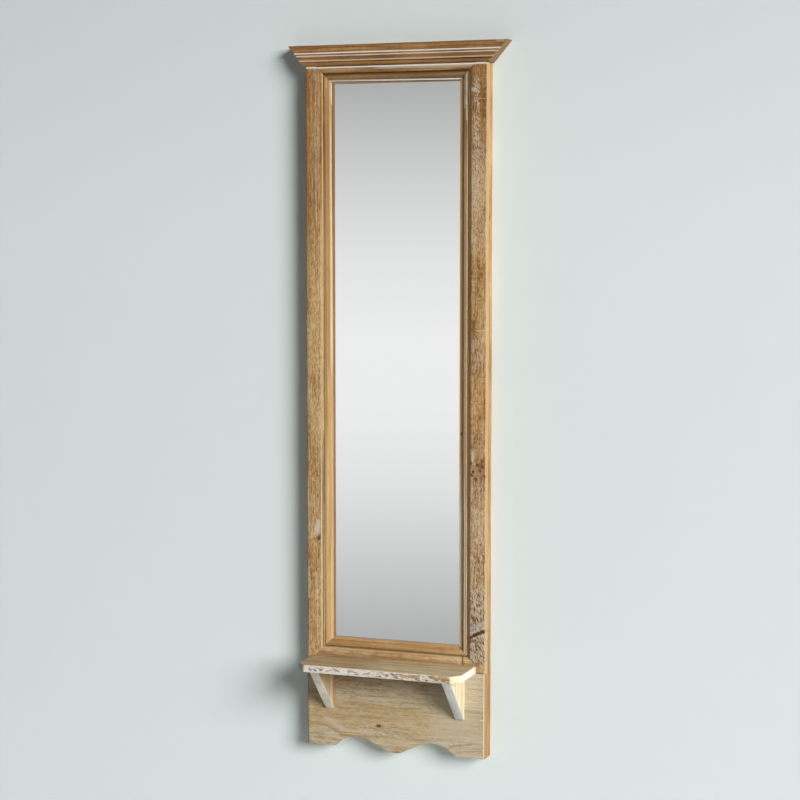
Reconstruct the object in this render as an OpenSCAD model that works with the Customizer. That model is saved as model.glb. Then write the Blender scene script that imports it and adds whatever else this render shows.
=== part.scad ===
// Wall mirror with a stepped crown, a narrow shelf and a scalloped apron.
// X runs to the right, Z up. The wall is the plane y = 0 and the front faces -Y.
// The origin lies on the wall plane, midway between the two keyhole hangers.

/* [Overall] */
// Overall height, from the apron's centre lobe to the top of the crown
overall_h = 1067; // [900:1:1300]
// Width of the frame across its side faces
frame_w = 286; // [285:1:300]
// Depth of the frame from the wall to the front of the face boards
frame_d = 28.5; // [26:0.5:30]
// Distance from the top of the crown down to the keyholes' round ends
hanger_drop = 100; // [90:1:160]

/* [Glass opening] */
// Width of glass that shows
sight_w = 200; // [196:1:200]
// Height of the top rail between the crown and the glass that shows
top_rail_h = 26; // [26:0.5:36]
// Height of the bottom rail between the glass that shows and the apron
bottom_rail_h = 39.5; // [32:0.5:44]

/* [Face boards] */
// Thickness of the face boards and the apron
face_t = 12.5; // [11:0.5:13]
// Rounding of the outer arrises
arris_r = 3; // [1:0.5:3.5]
// Width of the rounded shoulder beside the inner moulding
shoulder_w = 3.4; // [2.5:0.1:4.5]
// Drop of that shoulder
shoulder_drop = 2; // [1:0.1:2.6]

/* [Inner moulding] */
// Width of the inner moulding from its outer edge to the glass that shows
moulding_w = 15; // [14:0.5:16]
// Width of the quirk between the shoulder and the bead
quirk_w = 1; // [0.8:0.1:1.4]
// Depth of the quirk's floor below the face boards
quirk_drop = 3.6; // [3.2:0.1:4]
// Width of the bead
bead_w = 6; // [5:0.5:6.5]
// Depth of the bead's edges below the face boards
bead_drop = 2.4; // [2:0.1:2.8]
// Rise of the bead between its edges
bead_rise = 0.9; // [0.5:0.1:1.2]
// Width of the bevel that falls towards the glass
bevel_w = 4; // [3:0.5:4.5]
// Depth of the lip's face below the face boards
lip_drop = 7.4; // [6:0.1:7.6]
// Thickness of the lip in front of the glass
lip_t = 2.6; // [2:0.1:2.8]
// Width of the rabbet behind the lip
rabbet_w = 6; // [5:0.5:6.5]

/* [Crown] */
// Height of the crown
crown_h = 32; // [28:1:45]
// Width of the crown along its top edge
crown_top_w = 346; // [330:1:400]
// Width of the crown along its bottom edge
crown_bottom_w = 291; // [287:1:320]
// Depth of the crown's top edge from the wall
crown_top_d = 24.5; // [22:0.5:27]
// Outward step of each of the crown's three weathered bevels
crown_step = 1.6; // [1:0.1:2]

/* [Shelf and brackets] */
// Width of the shelf
shelf_w = 258; // [245:1:270]
// Depth of the shelf in front of the face boards
shelf_d = 78; // [76:0.5:110]
// Thickness of the shelf
shelf_t = 11; // [9:0.5:14]
// Cut off each front corner of the shelf
shelf_clip = 13; // [8:1:17]
// Easing of the edges of shelf and brackets
edge_ease = 1; // [0.5:0.1:1.5]
// Height of the brackets
bracket_h = 71; // [62:1:80]
// Depth of the brackets along the shelf
bracket_d = 66; // [60:1:75]
// Thickness of the brackets
bracket_t = 13.5; // [13:0.5:14]
// Distance between the brackets' outer faces
bracket_span = 223; // [205:1:223]
// Blunt end left at the bracket's tip and toe
bracket_blunt = 2.5; // [2:0.5:4]

/* [Apron] */
// Height of the apron's straight ends
apron_h = 129; // [115:1:150]
// Drop of the centre lobe below the straight ends
lobe_drop = 3.5; // [3:0.5:5]
// Distance from the centre to the crest of each arch
arch_x = 60; // [57:1:63]
// Height of each arch above the straight ends
arch_rise = 16.9; // [15:0.1:18]
// Radius of each arch
arch_r = 49; // [46:1:52]
// Slope of the straight run from each arch to the lobe, in degrees
lobe_slope = 26.5; // [25:0.5:28]

/* [Back] */
// Width of the side boards
side_board_w = 34; // [33.5:0.5:34]
// Thickness of the glass
glass_t = 3; // [2:0.5:4]
// Thickness of the backing board
backing_t = 3; // [2:0.5:4]
// Drop of the lower back rail below the frame's lower edge
lower_rail_drop = 55; // [54:1:70]
// Distance between the two keyhole hangers
hanger_spacing = 250; // [246:1:252]
// Diameter of a keyhole's round end
keyhole_d = 9.5; // [8:0.5:10]
// Width of a keyhole's narrow slot
keyhole_slot_w = 4.6; // [4:0.1:5]

/* [Hidden] */
$fn = 48;

// Heights, counted from the keyholes
top_z = hanger_drop;
frame_top_z = top_z - crown_h;
bottom_z = top_z - overall_h;
flat_z = bottom_z + lobe_drop;
frame_bottom_z = flat_z + apron_h;
sight_top_z = frame_top_z - top_rail_h;
sight_bottom_z = frame_bottom_z + bottom_rail_h;

// Half widths, and the line where the face boards meet the inner mouldings
half_w = frame_w / 2;
sight_x = sight_w / 2;
inner_x = sight_x + moulding_w;
inner_top_z = sight_top_z + moulding_w;
inner_bottom_z = sight_bottom_z - moulding_w;
stile_w = half_w - inner_x;
top_board_w = top_rail_h - moulding_w;
bottom_board_w = bottom_rail_h - moulding_w;

// Depths from the wall
back_d = frame_d - face_t;
mid_d = back_d / 2;
lip_d = frame_d - lip_drop;
rabbet_d = lip_d - lip_t;
bead_d = frame_d - bead_drop;
backing_d = rabbet_d - glass_t - backing_t;
crown_depth = crown_top_d + 3 * crown_step + 3;

// Back frame round the glass and its backing
side_x = half_w - side_board_w;
rail_edge = rabbet_w + 0.5;
hanging_rail_z = sight_top_z + rail_edge;
lower_rail_top_z = sight_bottom_z - rail_edge;
lower_rail_z = frame_bottom_z - lower_rail_drop;
glass_edge = rabbet_w - 0.5;
glass_x = sight_x + glass_edge;
glass_bottom_z = sight_bottom_z - glass_edge;
glass_top_z = sight_top_z + glass_edge;

// Heights of the crown's bands from the top down: band, bevel, flute, bevel, cove, bevel,
// groove, bead, fillet; they are shares of their sum
crown_bands = [10.8, 2.3, 2.5, 2.4, 4.7, 2.9, 1.2, 5.4, 0.8];
crown_arris_r = 1.5;
crown_fall = 0.6;
flute_hollow = 0.8;
cove_hollow = 1.1;
crown_bead_rise = 1;
groove_in = 1.2;

// Keyhole plates, measured from the round end's centre
plate_t = 1.6;
plate_r = 8;
plate_low = -9;
plate_high = 18;
plate_screws = [-11, 20];
keyhole_travel = 12;
pocket_r = 5.5;
pocket_d = 9;

// Backing points: thin lozenges, half in the wood
point_t = 0.8;
point_long = 6;
point_wide = 3.5;
points_a_side = 5;
point_x = 40;

// Dowels of the back frame, and how far each height lies below the lower rail's top
dowel_r = 4;
dowel_len = 30;
lower_dowels = [14, 60];

// Screws: [head radius, shank radius, length]
small_screw = [3.1, 1.5, 12];
apron_screw = [3.6, 1.9, 25];
long_screw = [3.8, 2, 50];
crown_screw = [3.6, 1.9, 42];
shelf_screw_x = [-80, 0, 80];
bracket_screw_drops = [16, 44];
apron_screw_z = [flat_z + 25, frame_bottom_z - 48];
cut = 1;

wood_brown = [0.60, 0.43, 0.26];
wood_tan = [0.67, 0.53, 0.35];
wood_honey = [0.78, 0.62, 0.40];
wood_pale = [0.72, 0.66, 0.55];
hardboard = [0.42, 0.30, 0.20];
zinc = [0.72, 0.73, 0.74];

// Sum of a list's first n values
function total(list, n) = n == 0 ? 0 : list[n - 1] + total(list, n - 1);

// Points of an arc, both ends included
function arc(c, r, a0, a1, n) =
    [for (i = [0 : n]) let (a = a0 + (a1 - a0) * i / n) c + r * [cos(a), sin(a)]];

// Points from p to q that rise to the left of that line, or lie hollow where rise is negative
function bow(p, q, rise, n) =
    [for (i = [0 : n]) p + (q - p) * i / n
        + [p[1] - q[1], q[0] - p[0]] / norm(q - p) * rise * (1 - pow(2 * i / n - 1, 2))];

// A shape drawn in the front view, standing d deep in front of depth d0
module front_plate(points, d0, d) {
    translate([0, -d0, 0])
        rotate([90, 0, 0])
            linear_extrude(d)
                polygon(points);
}

// A cross-section given as [depth from the wall, height], run along X about the centre
module run_x(profile, length) {
    rotate([90, 0, 90])
        linear_extrude(length, center = true)
            polygon([for (p = profile) [-p[0], p[1]]]);
}

// A cross-section given as [x, depth from the wall], run along Z from z0 to z1
module run_z(profile, z0, z1) {
    translate([0, 0, z0])
        linear_extrude(z1 - z0)
            polygon([for (p = profile) [p[0], -p[1]]]);
}

// A prism on points, with the first n of its sides eased along both faces
module eased_prism(points, h, n) {
    side = edge_ease * sqrt(2);
    difference() {
        linear_extrude(h)
            polygon(points);
        for (i = [0 : n - 1], z = [0, h])
            let (p = points[i], q = points[i + 1])
                translate([(p[0] + q[0]) / 2, (p[1] + q[1]) / 2, z])
                    rotate([0, 0, atan2(q[1] - p[1], q[0] - p[0])])
                        rotate([45, 0, 0])
                            cube([norm(q - p) + 2 * cut, side, side], center = true);
    }
}

// A slot with round ends, standing upright, from the wall to depth d
module upright_slot(r, z0, z1, d) {
    for (z = [z0, z1])
        translate([0, 0, z])
            rotate([90, 0, 0])
                cylinder(h = d, r = r);
    translate([-r, -d, z0])
        cube([2 * r, d, z1 - z0]);
}

// Countersunk screw without its drive, its head flush with z = 0 and its point towards -Z
module screw_body(s) {
    head_h = s[0] - s[1];
    tip_h = 2 * s[1];
    translate([0, 0, -head_h])
        cylinder(h = head_h, r1 = s[1], r2 = s[0]);
    translate([0, 0, tip_h - s[2]])
        cylinder(h = s[2] - head_h - tip_h, r = s[1]);
    translate([0, 0, -s[2]])
        cylinder(h = tip_h, r1 = 0.3, r2 = s[1]);
}

// The same screw with a cross drive in its head
module screw(s) {
    drive_l = s[0];
    drive_w = 0.8;
    difference() {
        screw_body(s);
        for (a = [0, 90])
            rotate([0, 0, a])
                translate([-drive_l / 2, -drive_w / 2, -s[1] * 0.6])
                    cube([drive_l, drive_w, s[1]]);
    }
}

// Children turned so that what faces +Z faces the wall
module from_wall(x, z) {
    translate([x, 0, z])
        rotate([-90, 0, 0])
            children();
}

// Places of the screws, shared by the screws and by the holes that they fill
module at_shelf_screws() {
    for (x = shelf_screw_x)
        from_wall(x, frame_bottom_z + shelf_t / 2)
            children();
}

module at_bracket_screws() {
    for (side = [-1, 1], drop = bracket_screw_drops)
        from_wall(side * (bracket_span - bracket_t) / 2, frame_bottom_z - drop)
            children();
}

module at_apron_screws() {
    for (side = [-1, 1], z = apron_screw_z)
        from_wall(side * hanger_spacing / 2, z)
            children();
}

module at_hanger_screws() {
    for (side = [-1, 1], z = plate_screws)
        from_wall(side * hanger_spacing / 2, z)
            children();
}

module at_crown_screws() {
    for (x = shelf_screw_x)
        translate([x, -mid_d, hanging_rail_z])
            rotate([180, 0, 0])
                children();
}

module at_dowels() {
    rail_zs = [
        (hanging_rail_z + frame_top_z) / 2,
        lower_rail_top_z - lower_dowels[0],
        lower_rail_top_z - lower_dowels[1]
    ];
    for (side = [-1, 1], z = rail_zs)
        translate([side * side_x, -mid_d, z])
            rotate([0, 90, 0])
                children();
}

module lozenge(long_x, long_z) {
    front_plate([[long_x, 0], [0, long_z], [-long_x, 0], [0, -long_z]],
        backing_d - point_t, point_t);
}

module at_points() {
    pitch = (glass_top_z - glass_bottom_z) / points_a_side;
    for (side = [-1, 1], i = [0 : points_a_side - 1])
        translate([side * side_x, 0, glass_bottom_z + pitch * (i + 0.5)])
            lozenge(point_long, point_wide);
    for (side = [-1, 1], z = [lower_rail_top_z, hanging_rail_z])
        translate([side * point_x, 0, z])
            lozenge(point_wide, point_long);
}

// ---- Face boards: [distance out from the inner edge, depth from the wall] ----

function board_profile(w) = concat(
    [[0, back_d]],
    [for (p = arc([0, 0], 1, 180, 90, 6))
        [shoulder_w * (1 + p[0]), frame_d - shoulder_drop * (1 - p[1])]],
    arc([w - arris_r, frame_d - arris_r], arris_r, 90, 0, 6),
    [[w, back_d]]
);

// Outline of a stile's ends seen from the side: the top arris runs on from the top rail's
stile_ends = concat(
    [[0, frame_bottom_z], [frame_d, frame_bottom_z]],
    arc([frame_d - arris_r, frame_top_z - arris_r], arris_r, 0, 90, 6),
    [[0, frame_top_z]]
);

module right_stile() {
    color(wood_tan)
        intersection() {
            run_x(stile_ends, frame_w);
            run_z([for (p = board_profile(stile_w)) [inner_x + p[0], p[1]]],
                frame_bottom_z, frame_top_z);
            front_plate([
                [inner_x, inner_bottom_z],
                [inner_x, inner_top_z],
                [inner_x + top_board_w, frame_top_z],
                [half_w, frame_top_z],
                [half_w, frame_bottom_z],
                [inner_x + bottom_board_w, frame_bottom_z]
            ], 0, frame_d);
        }
}

module left_stile() {
    mirror([1, 0, 0])
        right_stile();
}

// A face board across the frame, going out from z0 by w upwards (way = 1) or downwards (-1)
module rail_board(z0, w, way) {
    end_x = inner_x + w;
    intersection() {
        run_x([for (p = board_profile(w)) [p[1], z0 + way * p[0]]], 2 * end_x);
        front_plate([[-inner_x, z0], [inner_x, z0], [end_x, z0 + way * w], [-end_x, z0 + way * w]],
            0, frame_d);
    }
}

module top_rail() {
    color(wood_brown)
        rail_board(inner_top_z, top_board_w, 1);
}

module bottom_rail() {
    color(wood_tan)
        difference() {
            rail_board(inner_bottom_z, bottom_board_w, -1);
            at_shelf_screws()
                screw_body(long_screw);
        }
}

// ---- Inner mouldings: [distance out from the glass that shows, depth from the wall] ----

moulding_profile = let (
    bead_x = moulding_w - quirk_w - bead_w,
    lip_w = bead_x - bevel_w
) concat(
    [[0, rabbet_d], [0, lip_d]],
    bow([lip_w, lip_d], [bead_x, bead_d], -0.4, 5),
    bow([bead_x, bead_d], [bead_x + bead_w, bead_d], bead_rise, 8),
    [[bead_x + bead_w, frame_d - quirk_drop]],
    [[moulding_w, frame_d - quirk_drop]],
    [[moulding_w, back_d], [rabbet_w, back_d], [rabbet_w, rabbet_d]]
);

module right_inner_moulding() {
    color(wood_honey)
        intersection() {
            run_z([for (p = moulding_profile) [sight_x + p[0], p[1]]],
                inner_bottom_z, inner_top_z);
            front_plate([
                [sight_x, sight_bottom_z],
                [inner_x, inner_bottom_z],
                [inner_x, inner_top_z],
                [sight_x, sight_top_z]
            ], 0, frame_d);
        }
}

module left_inner_moulding() {
    mirror([1, 0, 0])
        right_inner_moulding();
}

// A moulding across the frame, going out from z0 upwards (way = 1) or downwards (-1)
module cross_moulding(z0, way) {
    z1 = z0 + way * moulding_w;
    color(wood_honey)
        intersection() {
            run_x([for (p = moulding_profile) [p[1], z0 + way * p[0]]], 2 * inner_x);
            front_plate([[-sight_x, z0], [sight_x, z0], [inner_x, z1], [-inner_x, z1]], 0, frame_d);
        }
}

module top_inner_moulding() {
    cross_moulding(sight_top_z, 1);
}

module bottom_inner_moulding() {
    cross_moulding(sight_bottom_z, -1);
}

// ---- Crown: [depth from the wall, height above the frame] ----

// Height of the line under the crown's first n bands
function band_h(n) = crown_h * (1 - total(crown_bands, n) / total(crown_bands, len(crown_bands)));

crown_profile = let (
    d1 = crown_top_d + crown_fall,
    d2 = d1 + crown_step,
    d3 = d2 + crown_step,
    d4 = d3 + crown_step
) concat(
    [[0, 0], [0, crown_h]],
    arc([crown_top_d - crown_arris_r, crown_h - crown_arris_r], crown_arris_r, 90, 0, 4),
    [[d1, band_h(1)]],
    bow([d2, band_h(2)], [d2, band_h(3)], -flute_hollow, 5),
    bow([d3, band_h(4)], [d3, band_h(5)], -cove_hollow, 7),
    [[d4, band_h(6)]],
    [[d4 - groove_in, (band_h(6) + band_h(7)) / 2]],
    bow([d4, band_h(7)], [d4, band_h(8)], crown_bead_rise, 8),
    [[d4 - groove_in, 0]]
);

module crown_moulding() {
    top_x = crown_top_w / 2;
    low_x = crown_bottom_w / 2;
    color(wood_brown)
        difference() {
            translate([0, 0, frame_top_z])
                intersection() {
                    run_x(crown_profile, crown_top_w);
                    front_plate([[-low_x, 0], [low_x, 0], [top_x, crown_h], [-top_x, crown_h]],
                        0, crown_depth);
                }
            at_crown_screws()
                screw_body(crown_screw);
        }
}

// ---- Glass and backing ----

module pane(d0, t) {
    front_plate([
        [-glass_x, glass_bottom_z],
        [glass_x, glass_bottom_z],
        [glass_x, glass_top_z],
        [-glass_x, glass_top_z]
    ], d0, t);
}

module mirror_glass() {
    color([0.80, 0.82, 0.83])
        pane(rabbet_d - glass_t, glass_t);
}

module backing_board() {
    color(hardboard)
        pane(backing_d, backing_t);
}

module backing_points() {
    color(zinc)
        at_points();
}

// ---- Back frame ----

module right_side_board() {
    color(wood_honey)
        difference() {
            translate([side_x, -back_d, flat_z])
                cube([side_board_w, back_d, frame_top_z - flat_z]);
            translate([hanger_spacing / 2, 0, 0]) {
                upright_slot(plate_r, plate_low, plate_high, plate_t);
                upright_slot(pocket_r, 0, keyhole_travel, plate_t + pocket_d);
            }
            at_hanger_screws()
                screw_body(small_screw);
            at_apron_screws()
                screw_body(apron_screw);
            at_dowels()
                cylinder(h = dowel_len, r = dowel_r, center = true);
            at_points();
        }
}

module left_side_board() {
    mirror([1, 0, 0])
        right_side_board();
}

module back_rail(z0, z1) {
    translate([-side_x, -back_d, z0])
        cube([2 * side_x, back_d, z1 - z0]);
}

module hanging_rail() {
    color(wood_honey)
        difference() {
            back_rail(hanging_rail_z, frame_top_z);
            at_crown_screws()
                screw_body(crown_screw);
            at_dowels()
                cylinder(h = dowel_len, r = dowel_r, center = true);
            at_points();
        }
}

module lower_back_rail() {
    color(wood_honey)
        difference() {
            back_rail(lower_rail_z, lower_rail_top_z);
            at_shelf_screws()
                screw_body(long_screw);
            at_bracket_screws()
                screw_body(long_screw);
            at_dowels()
                cylinder(h = dowel_len, r = dowel_r, center = true);
            at_points();
        }
}

module corner_dowels() {
    color(wood_pale)
        at_dowels()
            cylinder(h = dowel_len, r = dowel_r, center = true);
}

// ---- Apron ----

// Right half of the apron's lower edge, from the side to the centre lobe. The arch, a straight
// run and the lobe's arc are tangent, which fixes the lobe's radius.
apron_edge = let (
    s = sin(lobe_slope),
    c = cos(lobe_slope),
    crest_z = flat_z + arch_rise,
    centre = [arch_x, crest_z - arch_r],
    corner_a = asin(1 - arch_rise / arch_r),
    run_start = [arch_x - arch_r * s, crest_z - arch_r * (1 - c)],
    lobe_r = (tan(lobe_slope) * run_start[0] - (run_start[1] - bottom_z))
        / (tan(lobe_slope) * s + c - 1)
) concat(
    [[half_w, flat_z]],
    arc(centre, arch_r, corner_a, 90 + lobe_slope, 16),
    arc([0, bottom_z + lobe_r], lobe_r, -90 + lobe_slope, -90, 8)
);

module apron() {
    arris = 1.6;
    n = len(apron_edge) - 1;
    color(wood_pale)
        difference() {
            front_plate(concat(
                [[half_w, frame_bottom_z]],
                apron_edge,
                [for (i = [n - 1 : -1 : 0]) [-apron_edge[i][0], apron_edge[i][1]]],
                [[-half_w, frame_bottom_z]]
            ), back_d, face_t);
            for (side = [-1, 1])
                translate([side * half_w, -frame_d, (frame_bottom_z + flat_z) / 2])
                    rotate([0, 0, 45])
                        cube([arris * sqrt(2), arris * sqrt(2), apron_h + 2 * cut], center = true);
            at_bracket_screws()
                screw_body(long_screw);
            at_apron_screws()
                screw_body(apron_screw);
        }
}

// ---- Shelf and brackets ----

module shelf() {
    x = shelf_w / 2;
    color(wood_pale)
        difference() {
            translate([0, -frame_d, frame_bottom_z])
                eased_prism([
                    [-x, 0],
                    [-x, shelf_clip - shelf_d],
                    [shelf_clip - x, -shelf_d],
                    [x - shelf_clip, -shelf_d],
                    [x, shelf_clip - shelf_d],
                    [x, 0]
                ], shelf_t, 5);
            at_shelf_screws()
                screw_body(long_screw);
        }
}

module right_bracket() {
    color(wood_pale)
        difference() {
            translate([bracket_span / 2, -frame_d, frame_bottom_z])
                rotate([90, 0, -90])
                    eased_prism([
                        [bracket_d, 0],
                        [bracket_d, -bracket_blunt],
                        [bracket_blunt, -bracket_h],
                        [0, -bracket_h],
                        [0, 0]
                    ], bracket_t, 3);
            at_bracket_screws()
                screw_body(long_screw);
        }
}

module left_bracket() {
    mirror([1, 0, 0])
        right_bracket();
}

// ---- Hangers and fasteners ----

module right_keyhole_plate() {
    color(zinc)
        difference() {
            translate([hanger_spacing / 2, 0, 0])
                difference() {
                    upright_slot(plate_r, plate_low, plate_high, plate_t);
                    translate([0, cut, 0]) {
                        rotate([90, 0, 0])
                            cylinder(h = plate_t + 2 * cut, d = keyhole_d);
                        upright_slot(keyhole_slot_w / 2, 0, keyhole_travel, plate_t + 2 * cut);
                    }
                }
            at_hanger_screws()
                screw_body(small_screw);
        }
}

module left_keyhole_plate() {
    mirror([1, 0, 0])
        right_keyhole_plate();
}

module hanger_screws() {
    color(zinc)
        at_hanger_screws()
            screw(small_screw);
}

module shelf_screws() {
    color(zinc)
        at_shelf_screws()
            screw(long_screw);
}

module bracket_screws() {
    color(zinc)
        at_bracket_screws()
            screw(long_screw);
}

module apron_screws() {
    color(zinc)
        at_apron_screws()
            screw(apron_screw);
}

module crown_screws() {
    color(zinc)
        at_crown_screws()
            screw(crown_screw);
}

crown_moulding();
left_stile();
right_stile();
top_rail();
bottom_rail();
left_inner_moulding();
right_inner_moulding();
top_inner_moulding();
bottom_inner_moulding();
mirror_glass();
backing_board();
backing_points();
left_side_board();
right_side_board();
hanging_rail();
lower_back_rail();
apron();
shelf();
left_bracket();
right_bracket();
left_keyhole_plate();
right_keyhole_plate();
hanger_screws();
shelf_screws();
bracket_screws();
apron_screws();
crown_screws();
corner_dowels();
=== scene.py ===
import math

import bmesh
import bpy
from bpy.props import FloatProperty, FloatVectorProperty, PointerProperty
from bpy.types import Operator, Panel, PropertyGroup
from mathutils import Matrix, Vector, noise


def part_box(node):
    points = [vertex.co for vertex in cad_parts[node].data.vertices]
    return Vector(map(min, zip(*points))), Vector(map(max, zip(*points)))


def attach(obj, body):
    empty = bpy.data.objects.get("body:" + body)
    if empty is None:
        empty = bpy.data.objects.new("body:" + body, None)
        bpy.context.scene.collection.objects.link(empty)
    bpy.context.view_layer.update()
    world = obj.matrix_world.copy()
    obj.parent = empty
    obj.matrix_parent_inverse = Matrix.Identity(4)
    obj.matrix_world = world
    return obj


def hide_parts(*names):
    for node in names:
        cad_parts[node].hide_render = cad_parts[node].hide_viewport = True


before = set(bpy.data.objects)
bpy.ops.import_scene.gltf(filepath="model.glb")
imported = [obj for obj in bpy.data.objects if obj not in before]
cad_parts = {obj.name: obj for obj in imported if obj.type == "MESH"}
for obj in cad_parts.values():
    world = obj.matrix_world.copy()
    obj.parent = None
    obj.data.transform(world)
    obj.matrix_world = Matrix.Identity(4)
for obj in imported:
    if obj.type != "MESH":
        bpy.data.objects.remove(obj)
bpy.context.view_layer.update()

bl_info = {
    "name": "Wall mirror with shelf",
    "version": (1, 0, 0),
    "blender": (4, 5, 0),
    "location": "View3D > Sidebar > Wall mirror",
    "description": "Worn, whitewashed wood round the solids of a tall mirror with a small shelf",
    "category": "Object",
}

X, Y, Z = 0, 1, 2
MM = 0.001
NEAR = 0.01 * MM  # places closer than this count as one
MERGE = 0.001 * MM  # vertices closer than this become one
SHARP = math.radians(32)  # faces that meet at more than this keep a sharp edge
WAVER_SEED = 5  # keeps the noise of the worn faces the same in every run


def low(node):
    """Lowest corner of a CAD node, in metres."""
    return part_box(node)[0]


def high(node):
    """Highest corner of a CAD node, in metres."""
    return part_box(node)[1]


# Lines that the pieces share, in metres, read from the solids
HALF_W = high("right_stile").x
INNER_X = low("right_stile").x
SIGHT_X = low("right_inner_moulding").x
FRAME_TOP = high("top_rail").z
INNER_TOP = low("top_rail").z
SIGHT_TOP = low("top_inner_moulding").z
SIGHT_LOW = high("bottom_inner_moulding").z
INNER_LOW = high("bottom_rail").z
FRAME_LOW = low("bottom_rail").z
FACE_DEPTH = -low("right_stile").y
BACK_DEPTH = -high("right_stile").y
RABBET_DEPTH = -low("mirror_glass").y
MOULDING_W = INNER_X - SIGHT_X


def srgb(code):
    """A written colour such as b08b5e as the linear values that shaders read."""
    parts = [int(code[i : i + 2], 16) / 255 for i in (0, 2, 4)]
    return tuple(p / 12.92 if p <= 0.04045 else ((p + 0.055) / 1.055) ** 2.4 for p in parts)


def length_prop(name, text, default, top=0.1):
    """A length in metres that the sidebar shows."""
    return FloatProperty(
        name=name, description=text, default=default, min=0, max=top, unit="LENGTH", precision=4
    )


def colour_prop(name, text, code):
    """A colour that the sidebar shows."""
    return FloatVectorProperty(
        name=name, description=text, default=srgb(code), subtype="COLOR", min=0, max=1
    )


def power_prop(name, text, default):
    """A lamp's power in watts that the sidebar shows."""
    return FloatProperty(name=name, description=text, default=default, min=0, unit="POWER")


class MirrorBoardSizes(PropertyGroup):
    """Sizes of the face boards, the inner mouldings and the wear on them."""

    shoulder: length_prop("Shoulder", "Rounding beside the inner moulding", 2.7 * MM)
    arris: length_prop("Arris", "Rounding of the outer arrises", 3 * MM)
    lip_t: length_prop("Lip thickness", "Thickness of the lip over the glass", 2.6 * MM)
    lip_w: length_prop("Lip width", "Flat of the lip over the glass", 4 * MM)
    bevel_w: length_prop("Bevel width", "Bevel between lip and bead", 4 * MM)
    bead_w: length_prop("Bead width", "Width of the bead", 6 * MM)
    bead_drop: length_prop("Bead drop", "Depth of the bead's edges below the face", 2.4 * MM)
    bead_rise: length_prop("Bead rise", "Rise of the bead between its edges", 1 * MM)
    quirk_drop: length_prop("Quirk drop", "Depth of the quirk below the face", 3.6 * MM)
    rabbet_w: length_prop("Rabbet width", "Width of the rabbet behind the lip", 6 * MM)
    joint: length_prop("Joint", "Easing of the edges at the mitres", 0.25 * MM)
    pitch: length_prop("Pitch", "Spacing of the cuts that let a board's faces waver", 8 * MM)
    relief: length_prop("Relief", "How far a worn face wavers", 0.14 * MM)


class MirrorCrownSizes(PropertyGroup):
    """Steps of the crown, from the solid's own depth and height."""

    top_d: length_prop("Top depth", "Depth of the top edge from the wall", 24.5 * MM)
    fall: length_prop("Fall", "How far the top band leans out", 0.6 * MM)
    step: length_prop("Step", "Outward step of each bevel", 1.6 * MM)
    flute: length_prop("Flute", "Hollow between the first two bevels", 0.8 * MM)
    cove: length_prop("Cove", "Hollow between the last two bevels", 1.1 * MM)
    groove: length_prop("Groove", "Groove above the bead", 1.2 * MM)
    bead: length_prop("Bead", "How far the bead stands out", 1 * MM)
    arris: length_prop("Arris", "Rounding of the top edge", 1.5 * MM)


class MirrorShelfSizes(PropertyGroup):
    """Sizes of the shelf, the brackets and the apron."""

    clip: length_prop("Clip", "Cut off each front corner of the shelf", 13 * MM)
    ease: length_prop("Ease", "Rounding of the edges", 1.1 * MM)
    chip: length_prop("Chip", "Depth of the chips along the shelf's front edge", 0.7 * MM)
    chip_length: length_prop("Chip length", "Length of the chips", 14 * MM)
    apron_ease: length_prop("Apron ease", "Rounding of the apron's front edges", 0.7 * MM)
    toe: length_prop("Toe", "Blunt end left at a bracket's tip and toe", 2.5 * MM)


class MirrorColours(PropertyGroup):
    """Colours of the woods, the old paint and the metal."""

    brown: colour_prop("Brown", "Middle tone of crown and top rail", "91693f")
    brown_dark: colour_prop("Dark brown", "Dark streaks of crown and top rail", "6b4826")
    brown_light: colour_prop("Light brown", "Light streaks of crown and top rail", "b08a5c")
    tan: colour_prop("Tan", "Middle tone of the stiles", "b08c5f")
    tan_dark: colour_prop("Dark tan", "Dark streaks of the stiles", "8c683d")
    tan_light: colour_prop("Light tan", "Light streaks of the stiles", "d0b68c")
    honey: colour_prop("Honey", "Middle tone of the side faces", "b78a52")
    honey_dark: colour_prop("Dark honey", "Dark streaks of the side faces", "9a6c38")
    honey_light: colour_prop("Light honey", "Light streaks of the side faces", "cda974")
    beige: colour_prop("Beige", "Middle tone of apron and shelf", "b09b74")
    beige_dark: colour_prop("Dark beige", "Dark streaks of apron and shelf", "94794f")
    beige_light: colour_prop("Light beige", "Light streaks of apron and shelf", "c8b998")
    knot: colour_prop("Knot", "Heart of a knot", "4a3224")
    silver: colour_prop("Silver", "Mirror", "f4f5f5")
    zinc: colour_prop("Zinc", "Keyhole plates and screws", "c3c6c9")


class MirrorStageSettings(PropertyGroup):
    """The wall, the floor, the light and the camera."""

    wall: colour_prop("Wall", "Painted wall", "d8e0df")
    floor: colour_prop("Floor", "Floor far below the mirror", "dcdfdc")
    key_power: power_prop("Key", "Power of the large lamp", 4370)
    back_power: power_prop("Back", "Power of the lamp behind the wall", 110)
    left_power: power_prop("Left", "Power of the lamp beyond the left side", 40)
    fill: FloatProperty(name="Fill", description="Light from all round", default=0.02, min=0)
    lens: FloatProperty(
        name="Lens", description="Focal length on a 36 mm sensor", default=90.81, min=20, unit="CAMERA"
    )


# ---- Meshes ----


def new_object(name, bm, material):
    """Puts a mesh in the scene as an object at the origin."""
    mesh = bpy.data.meshes.new(name)
    bm.to_mesh(mesh)
    bm.free()
    mesh.materials.append(material)
    piece = bpy.data.objects.new(name, mesh)
    bpy.context.scene.collection.objects.link(piece)
    return piece


def hold_inside(bm, node):
    """Keeps a wavering mesh inside its CAD node's box."""
    lo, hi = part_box(node)
    for vert in bm.verts:
        vert.co = Vector(min(max(c, a), b) for c, a, b in zip(vert.co, lo, hi))


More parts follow.
